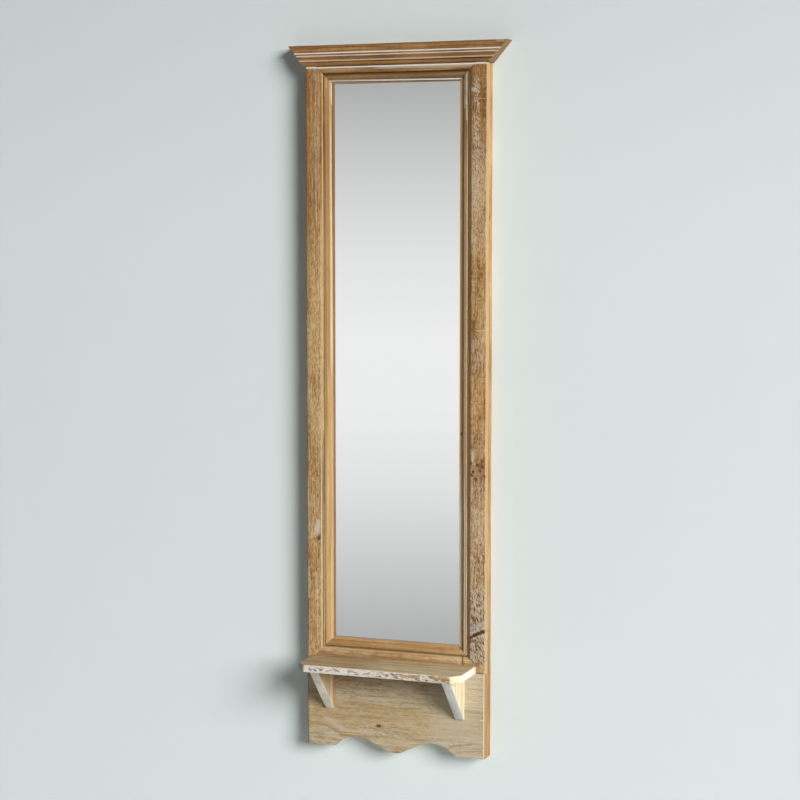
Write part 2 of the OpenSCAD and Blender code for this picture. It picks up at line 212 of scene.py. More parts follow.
def finish_piece(name, bm, material, node):
    """Puts a finished mesh in the scene as a piece that stands for a CAD node."""
    hold_inside(bm, node)
    bmesh.ops.recalc_face_normals(bm, faces=bm.faces[:])
    piece = new_object(name, bm, material)
    piece.data.shade_smooth()
    piece.data.set_sharp_from_angle(angle=SHARP)
    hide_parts(node)
    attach(piece, "root")


def everything(bm):
    """All the geometry of a mesh, as the operators take it."""
    return bm.verts[:] + bm.edges[:] + bm.faces[:]


def round_off(bm, geom, affect, radius, segments):
    """Rounds corners of a flat outline, or edges of a solid."""
    bmesh.ops.bevel(
        bm, geom=geom, affect=affect, offset=radius, segments=segments, profile=0.5, material=-1,
        clamp_overlap=affect == "EDGES",
    )


def round_edges(bm, edges, radius, segments=2):
    """Rounds edges of a solid."""
    round_off(bm, edges, "EDGES", radius, segments)


def outline_face(bm, outline):
    """A flat face across Z. The outline lists (x, depth from the wall, rounding), in metres."""
    corners = [bm.verts.new((x, -depth, 0)) for x, depth, _ in outline]
    bm.faces.new(corners)
    for radius in sorted({r for _, _, r in outline if r}):
        same = [c for c, (_, _, r) in zip(corners, outline) if r == radius]
        round_off(bm, same, "VERTICES", radius, 4)


def raise_solid(bm, start, stop):
    """Turns the flat face into a solid from start to stop along Z."""
    bmesh.ops.translate(bm, verts=bm.verts[:], vec=(0, 0, start))
    grown = bmesh.ops.extrude_face_region(bm, geom=bm.faces[:])["geom"]
    bmesh.ops.translate(
        bm, verts=[v for v in grown if isinstance(v, bmesh.types.BMVert)], vec=(0, 0, stop - start)
    )


def cut_loops(bm, pitch):
    """Divides the edges that run along Z, so that a long face can waver."""
    runs = {}
    for edge in bm.edges:
        a, b = edge.verts
        run = abs(a.co.z - b.co.z)
        if run > 2 * pitch:
            runs.setdefault(round(run / pitch), []).append(edge)
    for cuts, edges in sorted(runs.items()):
        bmesh.ops.subdivide_edges(bm, edges=edges, cuts=cuts)


def saw(bm, point, normal, ease):
    """Saws off what lies beyond a plane, closes the cut and eases its edges."""
    cut = bmesh.ops.bisect_plane(
        bm, geom=everything(bm), dist=MERGE, plane_co=point, plane_no=normal, clear_outer=True
    )["geom_cut"]
    rim = [e for e in cut if isinstance(e, bmesh.types.BMEdge)]
    bmesh.ops.edgeloop_fill(bm, edges=rim)
    if ease:
        round_edges(bm, rim, ease, 1)


def waver(bm, amount, seed):
    """Moves each vertex a little, as a worn, hand-planed face does."""
    noise.seed_set(WAVER_SEED)
    broad_wave, fine_wave = 30 * MM, 9 * MM
    shift = Vector((seed, seed * 0.7, -seed))
    for vert in bm.verts:
        broad = noise.noise_vector(vert.co / broad_wave + shift)
        fine = noise.noise_vector(vert.co / fine_wave - shift)
        vert.co += amount * (broad + 0.5 * fine)


def side_place(side, inner):
    """Matrix that takes (distance out, depth, place along) to one side of the frame."""
    rows = {
        "right": ((1, 0, 0, inner), (0, 1, 0, 0), (0, 0, 1, 0)),
        "left": ((-1, 0, 0, -inner), (0, 1, 0, 0), (0, 0, 1, 0)),
        "top": ((0, 0, 1, 0), (0, 1, 0, 0), (1, 0, 0, inner)),
        "bottom": ((0, 0, 1, 0), (0, 1, 0, 0), (-1, 0, 0, inner)),
    }[side]
    return Matrix(rows + ((0, 0, 0, 1),))


def mitred_bar(outline, ends, corners, place, sizes, seed, top_round=0.0):
    """A bar of the outline between two ends, mitred where it passes the inner corners."""
    bm = bmesh.new()
    outline_face(bm, outline)
    raise_solid(bm, *ends)
    cut_loops(bm, sizes.pitch)
    if top_round:
        near_top, near_front = ends[1] - MERGE, -FACE_DEPTH + MERGE
        rim = [e for e in bm.edges if all(v.co.z > near_top and v.co.y < near_front for v in e.verts)]
        round_edges(bm, rim, top_round, 3)
    for corner, way in zip(corners, (-1, 1)):
        saw(bm, (0, 0, corner), (-1, 0, way), sizes.joint)
    bmesh.ops.remove_doubles(bm, verts=bm.verts[:], dist=MERGE)
    bmesh.ops.transform(bm, matrix=place, verts=bm.verts[:])
    waver(bm, sizes.relief, seed)
    return bm


def cad_copy(node):
    """A CAD node's mesh with its loose triangles joined up into whole faces."""
    bm = bmesh.new()
    bm.from_mesh(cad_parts[node].data)
    bmesh.ops.remove_doubles(bm, verts=bm.verts[:], dist=2 * MERGE)
    bmesh.ops.dissolve_limit(
        bm, angle_limit=math.radians(0.5), verts=bm.verts[:], edges=bm.edges[:],
        use_dissolve_boundaries=False,
    )
    return bm


def slice_up(bm, *cuts):
    """Cuts loops across the whole mesh, at a steady pitch along each axis given."""
    for axis, pitch in cuts:
        places = [v.co[axis] for v in bm.verts]
        start, stop = min(places), max(places)
        count = int((stop - start) / pitch)
        normal = Vector((axis == X, axis == Y, axis == Z))
        for n in range(1, count):
            point = normal * (start + n * (stop - start) / count)
            bmesh.ops.bisect_plane(bm, geom=everything(bm), dist=NEAR, plane_co=point, plane_no=normal)


def square_to(edge, axis):
    """Whether an edge runs square to an axis."""
    a, b = edge.verts
    return abs(a.co[axis] - b.co[axis]) < NEAR


def long_edges(bm, shortest, angle=30):
    """Edges of at least that length where faces meet at more than that angle, in degrees."""
    sharp = math.radians(angle)
    whole = [e for e in bm.edges if e.is_manifold]
    return [e for e in whole if e.calc_length() > shortest and e.calc_face_angle() > sharp]


# ---- Shader nodes ----


def written(colour, length=4):
    """A colour, or a written colour code, filled up with ones to that length."""
    values = srgb(colour) if isinstance(colour, str) else tuple(colour)
    return values + (1.0,) * (length - len(values))


class Shader:
    """Adds nodes to one tree. A value is a number, a vector, a colour or another node's output."""

    def __init__(self, tree):
        self.tree = tree

    def put(self, socket, value):
        if isinstance(value, bpy.types.NodeSocket):
            self.tree.links.new(value, socket)
        elif hasattr(socket.default_value, "__len__"):
            socket.default_value = written(value, len(socket.default_value))
        else:
            socket.default_value = value

    def fill(self, node, values):
        for key, value in dict(values).items():
            self.put(node.inputs[key], value)

    def add(self, kind, values=(), **settings):
        node = self.tree.nodes.new("ShaderNode" + kind)
        for key, value in settings.items():
            setattr(node, key, value)
        self.fill(node, values)
        return node

    def group(self, name, **values):
        named = {key.replace("_", " ").title(): value for key, value in values.items()}
        return self.add("Group", named, node_tree=bpy.data.node_groups[name]).outputs

    def math(self, operation, *values, clamp=False):
        return self.add("Math", enumerate(values), operation=operation, use_clamp=clamp).outputs[0]

    def plus(self, a, b):
        return self.math("ADD", a, b)

    def minus(self, a, b):
        return self.math("SUBTRACT", a, b)

    def times(self, product, *factors):
        """The product of the factors. A factor of None is left out."""
        for factor in factors:
            if factor is not None:
                product = self.math("MULTIPLY", product, factor)
        return product

    def vector(self, operation, *values):
        keys = (0, "Scale") if operation == "SCALE" else range(len(values))
        node = self.add("VectorMath", zip(keys, values), operation=operation)
        return node.outputs["Value" if operation in ("LENGTH", "DOT_PRODUCT") else "Vector"]

    def split(self, vector):
        return self.add("SeparateXYZ", {0: vector}).outputs

    def join(self, x, y, z):
        return self.add("CombineXYZ", {0: x, 1: y, 2: z}).outputs[0]

    def grey(self, value):
        return self.join(value, value, value)

    def object_mm(self):
        return self.vector("SCALE", self.add("TexCoord").outputs["Object"], 1 / MM)

    def smooth(self, value, start, stop, first=0.0, last=1.0):
        """Goes smoothly from first to last as the value goes from start to stop."""
        values = enumerate((value, start, stop, first, last))
        return self.add("MapRange", values, interpolation_type="SMOOTHSTEP").outputs[0]

    def stripe(self, value, start, stop, soft):
        """One between start and stop and zero beyond them, with soft edges."""
        up = self.smooth(value, start - soft, start + soft)
        down = self.smooth(value, stop - soft, stop + soft, 1, 0)
        return self.times(up, down)

    def noise(self, vector, detail, roughness=0.5, gain=1.0):
        """Noise with one grain to each unit of the vector. The gain raises its contrast."""
        values = {"Vector": vector, "Scale": 1.0, "Detail": detail, "Roughness": roughness}
        grains = self.add("TexNoise", values).outputs[0]
        if gain == 1.0:
            return grains
        return self.math("MULTIPLY_ADD", grains, gain, 0.5 - gain / 2, clamp=True)

    def mix(self, factor, a, b, blend="MIX"):
        values = {0: factor, 6: a, 7: b}
        return self.add("Mix", values, data_type="RGBA", blend_type=blend).outputs[2]

    def ramp(self, value, *stops):
        node = self.add("ValToRGB", {0: value})
        elements = node.color_ramp.elements
        while len(elements) < len(stops):
            elements.new(0.5)
        for element, (place, colour) in zip(elements, stops):
            element.position = place
            element.color = written(colour)
        return node.outputs[0]

    def bump(self, height, strength, relief):
        """A normal from a height between 0 and 1 that stands for a relief in mm."""
        values = {"Height": height, "Strength": strength, "Distance": relief * MM}
        return self.add("Bump", values).outputs[0]


def new_material(name):
    """A material with its Shader and its Principled node."""
    material = bpy.data.materials.new(name)
    material.use_nodes = True
    return material, Shader(material.node_tree), material.node_tree.nodes["Principled BSDF"]


def dress(nodes, material):
    """Gives CAD nodes a material through their own material slots."""
    for node in nodes:
        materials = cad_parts[node].data.materials
        materials.clear()
        materials.append(material)


def make_group(name, inputs, outputs):
    """An empty node group with named sockets, its Shader and its inputs."""
    tree = bpy.data.node_groups.new(name, "ShaderNodeTree")
    for label, default in inputs:
        kind = "NodeSocketFloat" if isinstance(default, (int, float)) else "NodeSocketVector"
        socket = tree.interface.new_socket(name=label, in_out="INPUT", socket_type=kind)
        socket.default_value = default
    for label, kind in outputs:
        tree.interface.new_socket(name=label, in_out="OUTPUT", socket_type="NodeSocket" + kind)
    s = Shader(tree)
    return s, tree.nodes.new("NodeGroupInput").outputs, tree.nodes.new("NodeGroupOutput").inputs


def grain_group():
    """Rings, fibres, streaks, flecks and patches of a board whose grain runs along Z, in mm."""
    s, given, out = make_group(
        "wood_grain",
        [("Vector", (0, 0, 0)), ("Ring Spacing", 3.2), ("Pith", (40, 26, 0)), ("Waviness", 6.0)],
        [(name, "Float") for name in ("Rings", "Fibres", "Streaks", "Flecks", "Patches")],
    )
    v = given["Vector"]
    slow = s.vector("MULTIPLY", v, (0.016, 0.016, 0.004))
    drift = s.add("TexNoise", {"Vector": slow, "Scale": 1.0, "Detail": 2.0}).outputs["Color"]
    drift = s.vector("SCALE", s.vector("SUBTRACT", drift, (0.5, 0.5, 0.5)), given["Waviness"])
    from_pith = s.vector("SUBTRACT", s.vector("ADD", v, drift), given["Pith"])
    across = s.vector("MULTIPLY", from_pith, (1, 1, 0))
    turns = s.math("DIVIDE", s.vector("LENGTH", across), given["Ring Spacing"])
    part = s.math("FRACT", turns)
    late = s.times(s.smooth(part, 0.3, 0.85), s.smooth(part, 0.88, 1.0, 1, 0))
    year = s.add("TexWhiteNoise", noise_dimensions="1D")
    s.put(year.inputs["W"], s.math("FLOOR", turns))
    strength = s.math("MULTIPLY_ADD", year.outputs[0], 0.7, 0.3)
    s.put(out["Rings"], s.times(late, strength))
    # Density is in grains per mm, across the grain and along it
    for name, density, detail, roughness in (
        ("Fibres", (1.0, 1.0, 0.045), 4.0, 0.7),
        ("Streaks", (0.26, 0.26, 0.008), 4.0, 0.6),
        ("Flecks", (0.34, 0.34, 0.15), 5.0, 0.66),
        ("Patches", (0.045, 0.045, 0.017), 4.0, 0.55),
    ):
        s.put(out[name], s.noise(s.vector("MULTIPLY", v, density), detail, roughness, 2.8))


def knot_group():
    """A knot at a centre: its heart, the darker wood round it, and grain that goes round it."""
    s, given, out = make_group(
        "knot",
        [("Vector", (0, 0, 0)), ("Centre", (0, 0, 0)), ("Radii", (3, 99, 4)), ("Spread", (0.8, 0, 0))],
        [("Vector", "Vector"), ("Heart", "Float"), ("Halo", "Float")],
    )
    away = s.vector("SUBTRACT", given["Vector"], given["Centre"])
    far = s.vector("LENGTH", s.vector("DIVIDE", away, given["Radii"]))
    wobble = s.noise(s.vector("SCALE", given["Vector"], 0.45), 3.0)
    far = s.plus(far, s.math("MULTIPLY_ADD", wobble, 1.4, -0.7))
    halo = s.smooth(far, 3.2, 0.8)
    push = s.vector("SCALE", s.vector("MULTIPLY", away, given["Spread"]), halo)
    s.put(out["Vector"], s.vector("SUBTRACT", given["Vector"], push))
    s.put(out["Heart"], s.smooth(far, 1.15, 0.55))
    s.put(out["Halo"], halo)


def paint_group():
    """Where old white paint is left: more of it as Cover goes to 1."""
    s, given, out = make_group(
        "old_paint",
        [("Vector", (0, 0, 0)), ("Fibres", 0.5), ("Cover", 0.5), ("Patch", (20, 20, 60))],
        [("Mask", "Float")],
    )
    spots = s.noise(s.vector("DIVIDE", given["Vector"], given["Patch"]), 5.0, 0.66, 2.4)
    left = s.plus(s.times(spots, 0.72), s.times(given["Fibres"], 0.28))
    edge = s.minus(1.0, given["Cover"])
    s.put(out["Mask"], s.smooth(left, s.minus(edge, 0.1), s.plus(edge, 0.1)))


def mark_group():
    """A streak, crack or patch between two points of a face that lies across Y, in mm."""
    s, given, out = make_group(
        "mark",
        [
            ("Vector", (0, 0, 0)), ("Start", (0, 0, 0)), ("End", (1, 0, 0)),
            ("Width", 2.0), ("Ragged", 1.0),
        ],
        [("Mask", "Float")],
    )
    flat = (1, 0, 1)
    place = s.vector("MULTIPLY", s.vector("SUBTRACT", given["Vector"], given["Start"]), flat)
    run = s.vector("MULTIPLY", s.vector("SUBTRACT", given["End"], given["Start"]), flat)
    reach = s.vector("DOT_PRODUCT", place, run)
    along = s.math("DIVIDE", reach, s.vector("DOT_PRODUCT", run, run), clamp=True)
    gap = s.vector("LENGTH", s.vector("SUBTRACT", place, s.vector("SCALE", run, along)))
    wobble = s.noise(s.vector("MULTIPLY", given["Vector"], (0.4, 0.1, 0.4)), 4.0, 0.65, 2.0)
    gap = s.plus(gap, s.times(s.minus(wobble, 0.5), given["Ragged"]))
    s.put(out["Mask"], s.smooth(gap, s.times(given["Width"], 0.62), s.times(given["Width"], 0.3)))


SEED_STEPS = (37.0, 19.0, 411.0)  # mm that one unit of a board's seed moves its grain


def tones(c, wood):
    """The dark, middle and light tone of a wood."""
    return [getattr(c, name) for name in (wood + "_dark", wood, wood + "_light")]


class WoodLook:
    """One wood material in the making: its shader, its coordinates in mm and its colour."""

    def __init__(self, name, along, tones, seed, spacing, pith, waviness=6.0, knots=()):
        self.material, self.s, self.principled = new_material(name)
        self.tones = tones
        self.mm = self.s.object_mm()
        self.x, self.y, self.z = self.s.split(self.mm)
        bent = self.mm
        self.hearts = []
        across = {"Z": (0.8, 0, 0), "X": (0, 0, 0.8)}[along]
        for centre, radii in knots:
            knot = self.s.group("knot", vector=bent, centre=centre, radii=radii, spread=across)
            bent = knot["Vector"]
            self.hearts.append((knot["Heart"], knot["Halo"]))
        if along == "X":
            turn = {"Vector": bent, "Rotation": (0, math.pi / 2, 0)}
            bent = self.s.add("Mapping", turn).outputs[0]
        self.along = self.s.vector("ADD", bent, [seed * step for step in SEED_STEPS])
        pith = (pith[0] + seed * SEED_STEPS[0], pith[1] + seed * SEED_STEPS[1], 0)
        grain = self.s.group(
            "wood_grain", vector=self.along, ring_spacing=spacing, pith=pith, waviness=waviness
        )
        self.rings, self.fibres, self.streaks, self.flecks, self.patches = grain
        self.colour = None
        self.height = self.fibres
        self.dull = None

    def grow(self, rings=0.2, fibres=0.3, streaks=0.5, flecks=0.5, patches=0.4):
        """Sets the wood's own colour from its grain."""
        s = self.s
        tone = s.math("MULTIPLY_ADD", self.rings, -rings, 0.5)
        patterns = (self.fibres, self.streaks, self.flecks, self.patches)
        for pattern, share in zip(patterns, (fibres, streaks, flecks, patches)):
            tone = s.plus(tone, s.math("MULTIPLY_ADD", pattern, share, -share / 2))
        dark, middle, light = self.tones
        self.colour = s.ramp(tone, (0.1, dark), (0.48, middle), (0.9, light))
        self.height = s.plus(self.fibres, s.times(self.flecks, 0.6))
        for _, halo in self.hearts:
            self.tint(halo, dark, 0.5)

    def outward(self, edge):
        """How far out a point lies from an edge at that distance from the middle line, in mm."""
        return self.s.minus(self.s.math("ABSOLUTE", self.x), edge / MM)

    def tint(self, mask, colour, strength=None, blend="MIX"):
        """Lays a colour over the wood where the mask says."""
        self.colour = self.s.mix(self.s.times(mask, strength), self.colour, colour, blend)

    def wash(self, mask, tone, strength=None):
        """Multiplies the wood's colour by a tone where the mask says."""
        self.tint(mask, tone, strength, "MULTIPLY")

    def dim(self, mask, amount):
        """Darkens the wood where the mask says, down to that share of its colour."""
        self.wash(mask, (amount, amount * 0.97, amount * 0.93))

    def lift(self, value, start, stop, first, last):
        """Multiplies the colour by a grey from first to last as the value goes from start to stop."""
        self.wash(1.0, self.s.grey(self.s.smooth(value, start, stop, first, last)))

    def band(self, value, start, stop, code, strength, soft, where=None):
        """Tints the wood where the value lies between start and stop, with edges that soft."""
        s = self.s
        ragged = s.plus(value, s.math("MULTIPLY_ADD", self.flecks, soft, -soft / 2))
        self.tint(s.times(s.stripe(ragged, start, stop, soft), strength, where), code)

    def mark(self, start, end, width, code, strength, ragged):
        """Draws a streak, crack or patch from one (x, z) to another, in mm."""
        start, end = ((x, 0, z) for x, z in (start, end))
        mask = self.s.group("mark", vector=self.mm, start=start, end=end, width=width, ragged=ragged)
        self.tint(mask["Mask"], code, strength)

    def marks(self, *rows):
        """Draws several marks: each row has the start, end, width, colour, strength and raggedness."""
        for row in rows:
            self.mark(*row)

    def paint(self, code, cover, patch, where=None, strength=1.0):
        """Lays worn white paint over the wood, everywhere or where the mask says."""
        s = self.s
        cover = s.times(cover, where)
        left = s.group("old_paint", vector=self.along, fibres=self.fibres, cover=cover, patch=patch)
        self.dull = s.times(left["Mask"], where, strength)
        self.tint(self.dull, code)
        self.height = s.plus(self.height, s.times(self.dull, 0.5))

    def done(self, knot_colour, roughness=0.62, relief=0.35):
        """Joins colour, roughness and a relief in mm to the shader, and returns the material."""
        s = self.s
        for heart, _ in self.hearts:
            self.tint(heart, knot_colour)
            self.height = s.minus(self.height, s.times(heart, 0.8))
        rough = s.math("MULTIPLY_ADD", self.fibres, 0.16, roughness - 0.08)
        if self.dull is not None:
            rough = s.math("MULTIPLY_ADD", self.dull, 0.12, rough)
        values = {
            "Base Color": self.colour,
            "Roughness": rough,
            "Specular IOR Level": 0.35,
            "Normal": s.bump(self.height, 0.6, relief),
        }
        s.fill(self.principled, values)
        return self.material


# ---- Operators, each followed by the looks of its pieces ----
# Bands, marks and knots lie where the photographed mirror has them, in mm on the frame's own axes.


class MIRROR_OT_shared_patterns(Operator):
    """Make the node groups that the woods share"""

    bl_idname = "wall_mirror.shared_patterns"
    bl_label = "Shared patterns"

    def execute(self, context):
        grain_group()
        knot_group()
        paint_group()
        mark_group()
        return {"FINISHED"}


# The crown's steps are drawn by their heights above its foot, in mm, for a crown this tall
CROWN_DRAWN = 33


class MIRROR_OT_crown(Operator):
    """Make the stepped crown"""

    bl_idname = "wall_mirror.crown"
    bl_label = "Crown"

    def execute(self, context):
        sizes, boards = context.scene.mirror_crown, context.scene.mirror_boards
        floor, top, half = low("crown_moulding").z, high("crown_moulding").z, high("crown_moulding").x
        tall = top - floor
        first = sizes.top_d + sizes.fall
        second, third, last = (first + n * sizes.step for n in (1, 2, 3))
        band_foot, flute_top, flute_foot, cove_top, cove_foot = 21.5, 19.2, 16.7, 14.3, 9.6
        groove, groove_half, bead_top, bead_foot, fillet = 6.2, 0.6, 4.6, 1.8, 0.7
        soft, crisp, bead_round, flute_round, cove_round = (r * MM for r in (0.4, 0.3, 1.1, 0.9, 1.9))
        outline = [
            (0, 0, 0),
            (CROWN_DRAWN, 0, 0),
            (CROWN_DRAWN, sizes.top_d, sizes.arris),
            (band_foot, first, soft),
            (flute_top, second, crisp),
            ((flute_top + flute_foot) / 2, second - sizes.flute, flute_round),
            (flute_foot, second, crisp),
            (cove_top, third, soft),
            ((cove_top + cove_foot) / 2, third - sizes.cove, cove_round),
            (cove_foot, third, soft),
            (groove + groove_half, last, crisp),
            (groove, last - sizes.groove, 0),
            (groove - groove_half, last, 0),
            (bead_top, last + sizes.bead, bead_round),
            (bead_foot, last + sizes.bead, bead_round),
            (fillet, last, 0),
            (0, last - sizes.groove, 0),
        ]
        bm = bmesh.new()
        outline_face(bm, [(up * tall / CROWN_DRAWN, *rest) for up, *rest in outline])
        raise_solid(bm, -half, half)
        cut_loops(bm, boards.pitch)
        splay = half - crown_foot()
        for way in (-1, 1):
            saw(bm, (tall, 0, way * half), (-splay, 0, way * tall), boards.joint)
        bmesh.ops.remove_doubles(bm, verts=bm.verts[:], dist=MERGE)
        bmesh.ops.transform(bm, matrix=side_place("top", floor), verts=bm.verts[:])
        waver(bm, boards.relief, seed=3.1)
        wood = crown_wood(context.scene.mirror_colours)
        finish_piece("crown", bm, wood, "crown_moulding")
        return {"FINISHED"}


def crown_wood(c):
    """Brown waxed wood whose bevels have kept lines of white paint, with painted shade in the groove
    and under the bead.
    """
    look = WoodLook("crown_wood", "X", tones(c, "brown"), seed=1.3, spacing=3.0, pith=(30, 60, 0))
    look.grow(rings=0.25, streaks=0.8, flecks=0.25)
    s = look.s
    up = s.minus(look.z, low("crown_moulding").z / MM)
    front = s.smooth(look.y, -20, -24)
    look.lift(look.x, 20, -110, 1.0, 1.12)
    look.band(up, 10.0, 14.0, "7c5634", 0.55, 0.5, front)
    look.band(up, 1.2, 5.0, "8a5f30", 0.5, 0.5, front)
    look.band(up, 29.5, 33, "745535", 0.6, 0.8, front)
    for start, stop, code, cover, strength in (
        (18.9, 21.0, "ddd8d1", 0.95, 0.95),
        (15.0, 16.5, "d3ccc2", 0.93, 0.95),
        (7.4, 9.5, "b9ab98", 0.85, 0.85),
    ):
        line = s.times(s.stripe(up, start, stop, 0.3), front)
        look.paint(code, cover, (9, 9, 90), line, strength)
    # Painted shade in the groove above the bead and in the hollow under the bead
    look.dim(s.times(s.stripe(up, 6.3, 7.2, 0.3), front), 0.7)
    look.dim(s.times(s.stripe(up, 5.2, 6.2, 0.3), front), 0.55)
    look.dim(s.times(s.smooth(up, 1.2, 0.3), front), 0.7)
    lo, hi, foot = low("crown_moulding"), high("crown_moulding"), crown_foot()
    out = s.math("MULTIPLY_ADD", up, (foot - hi.x) / (hi.z - lo.z), s.math("ABSOLUTE", look.x))
    look.tint(s.smooth(out, foot / MM - 0.7, foot / MM - 0.3), "9a8062", 0.6)
    look.mark((157, 98.8), (167, 98.6), 4, "b3a592", 0.55, 3)
    return look.done(c.knot)


def crown_foot():
    """Half the crown's width along its lower edge, in metres."""
    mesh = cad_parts["crown_moulding"].data
    floor = low("crown_moulding").z
    return max(v.co.x for v in mesh.vertices if v.co.z < floor + NEAR)


def outer_edge(look, code, strength=0.8):
    """Darkens the rounded front arris of a board and tints its outer edge face."""
    s = look.s
    out = s.math("ABSOLUTE", look.x)
    look.dim(s.stripe(out, HALF_W / MM - 3, HALF_W / MM - 0.5, 0.4), 0.8)
    look.tint(s.smooth(out, HALF_W / MM - 0.7, HALF_W / MM - 0.2), code, strength)


def white_arris(look, strength=0.95):
    """The worn white paint along the frame's top arris."""
    s = look.s
    top = s.stripe(look.z, FRAME_TOP / MM - 3.1, FRAME_TOP / MM + 9, 0.35)
    look.paint("d9d6cd", 0.95, (14, 14, 90), top, strength)


def board_outline(width, sizes):
    """Cross-section of a face board: (distance out, depth, rounding)."""
    return [
        (0, BACK_DEPTH, 0),
        (0, FACE_DEPTH, sizes.shoulder),
        (width, FACE_DEPTH, sizes.arris),
        (width, BACK_DEPTH, 0),
    ]


class MIRROR_OT_face_boards(Operator):
    """Make the two stiles and the two rails of the face"""

    bl_idname = "wall_mirror.face_boards"
    bl_label = "Face boards"

    def execute(self, context):
        sizes, colours = context.scene.mirror_boards, context.scene.mirror_colours
        stile_w, top_w, low_w = HALF_W - INNER_X, FRAME_TOP - INNER_TOP, INNER_LOW - FRAME_LOW
        full, heights, widths = (FRAME_LOW, FRAME_TOP), (INNER_LOW, INNER_TOP), (-INNER_X, INNER_X)
        jobs = (
            ("left_stile", "left", INNER_X, stile_w, full, heights, left_stile_wood),
            ("right_stile", "right", INNER_X, stile_w, full, heights, right_stile_wood),
            ("top_rail", "top", INNER_TOP, top_w, None, widths, top_rail_wood),
            ("bottom_rail", "bottom", INNER_LOW, low_w, None, widths, bottom_rail_wood),
        )
        for number, (node, side, inner, width, ends, corners, wood) in enumerate(jobs):
            ends = ends or (-INNER_X - width, INNER_X + width)
            outline, place = board_outline(width, sizes), side_place(side, inner)
            top_round = sizes.arris if "stile" in node else 0.0
            bm = mitred_bar(outline, ends, corners, place, sizes, 5.3 * number, top_round)
            finish_piece(node + "_board", bm, wood(colours), node)
        return {"FINISHED"}


def left_stile_wood(c):
    """Tan wood, streaky and browner at its top, with a painted highlight along its shoulder."""
    look = WoodLook(
        "left_stile_wood", "Z", tones(c, "tan"), seed=2.1, spacing=3.4, pith=(60, 38, 0),
        knots=[((-123.1, 0, -643.7), (3.0, 99, 3.9))],
    )
    look.grow(streaks=0.45, flecks=0.75)
    s = look.s
    out = look.outward(INNER_X)
    upper = s.smooth(look.z, -230, -90)
    look.wash(0.6, (1.03, 0.99, 0.88))
    look.wash(s.smooth(out, 13, 20), (0.95, 0.9, 0.83))
    look.paint("cbb794", 0.4, (1.5, 1.5, 8), strength=0.55)
    grooves = s.smooth(look.streaks, 0.55, 0.2)
    look.tint(s.times(upper, grooves), "85562b", 0.7)
    look.wash(upper, (0.84, 0.74, 0.64), 0.9)
    haze = s.times(upper, s.stripe(out, 3.5, 18, 2.5))
    look.paint("b09a7e", 0.5, (2.4, 2.4, 40), haze, 0.5)
    look.band(out, 21, 29, "9f6f3e", 0.45, 2.5, s.smooth(look.z, -330, -180))
    # Painted highlight along the shoulder, which faces the lamp
    look.band(out, 1.7, 4.0, "c8b087", 0.8, 0.5, s.smooth(look.z, -90, -190))
    look.band(out, 2.6, 4.6, "dac6a0", 0.75, 0.5, s.smooth(look.z, -470, -600))
    look.band(out, 0, 1.5, "a98a5c", 0.6, 0.4)
    look.band(out, 0.8, 2.2, "6b4b28", 0.85, 0.4, s.smooth(look.z, -470, -560))
    look.band(out, -1, 1.2, "bd9d70", 0.7, 0.4, s.stripe(look.z, -230, -60, 40))
    look.marks(
        ((-115.6, -480), (-115.4, -590), 1.4, "6f5233", 0.6, 1.8),
        ((-126.5, -634), (-124, -619), 9, "cfc2af", 0.65, 10),
        ((-124.2, -643.6), (-122.8, -642.0), 2.6, "b0a8a6", 0.8, 0.8),
        ((-141, -647), (-127, -645), 4, "a3763f", 0.5, 4),
        ((-140.5, -690), (-140, -736), 3.5, "d0c2aa", 0.5, 6),
        ((-127.5, -698), (-127, -738), 4, "ccba98", 0.5, 6),
    )
    look.lift(look.z, -560, -800, 1.0, 1.04)
    white_arris(look)
    return look.done("5a4335")


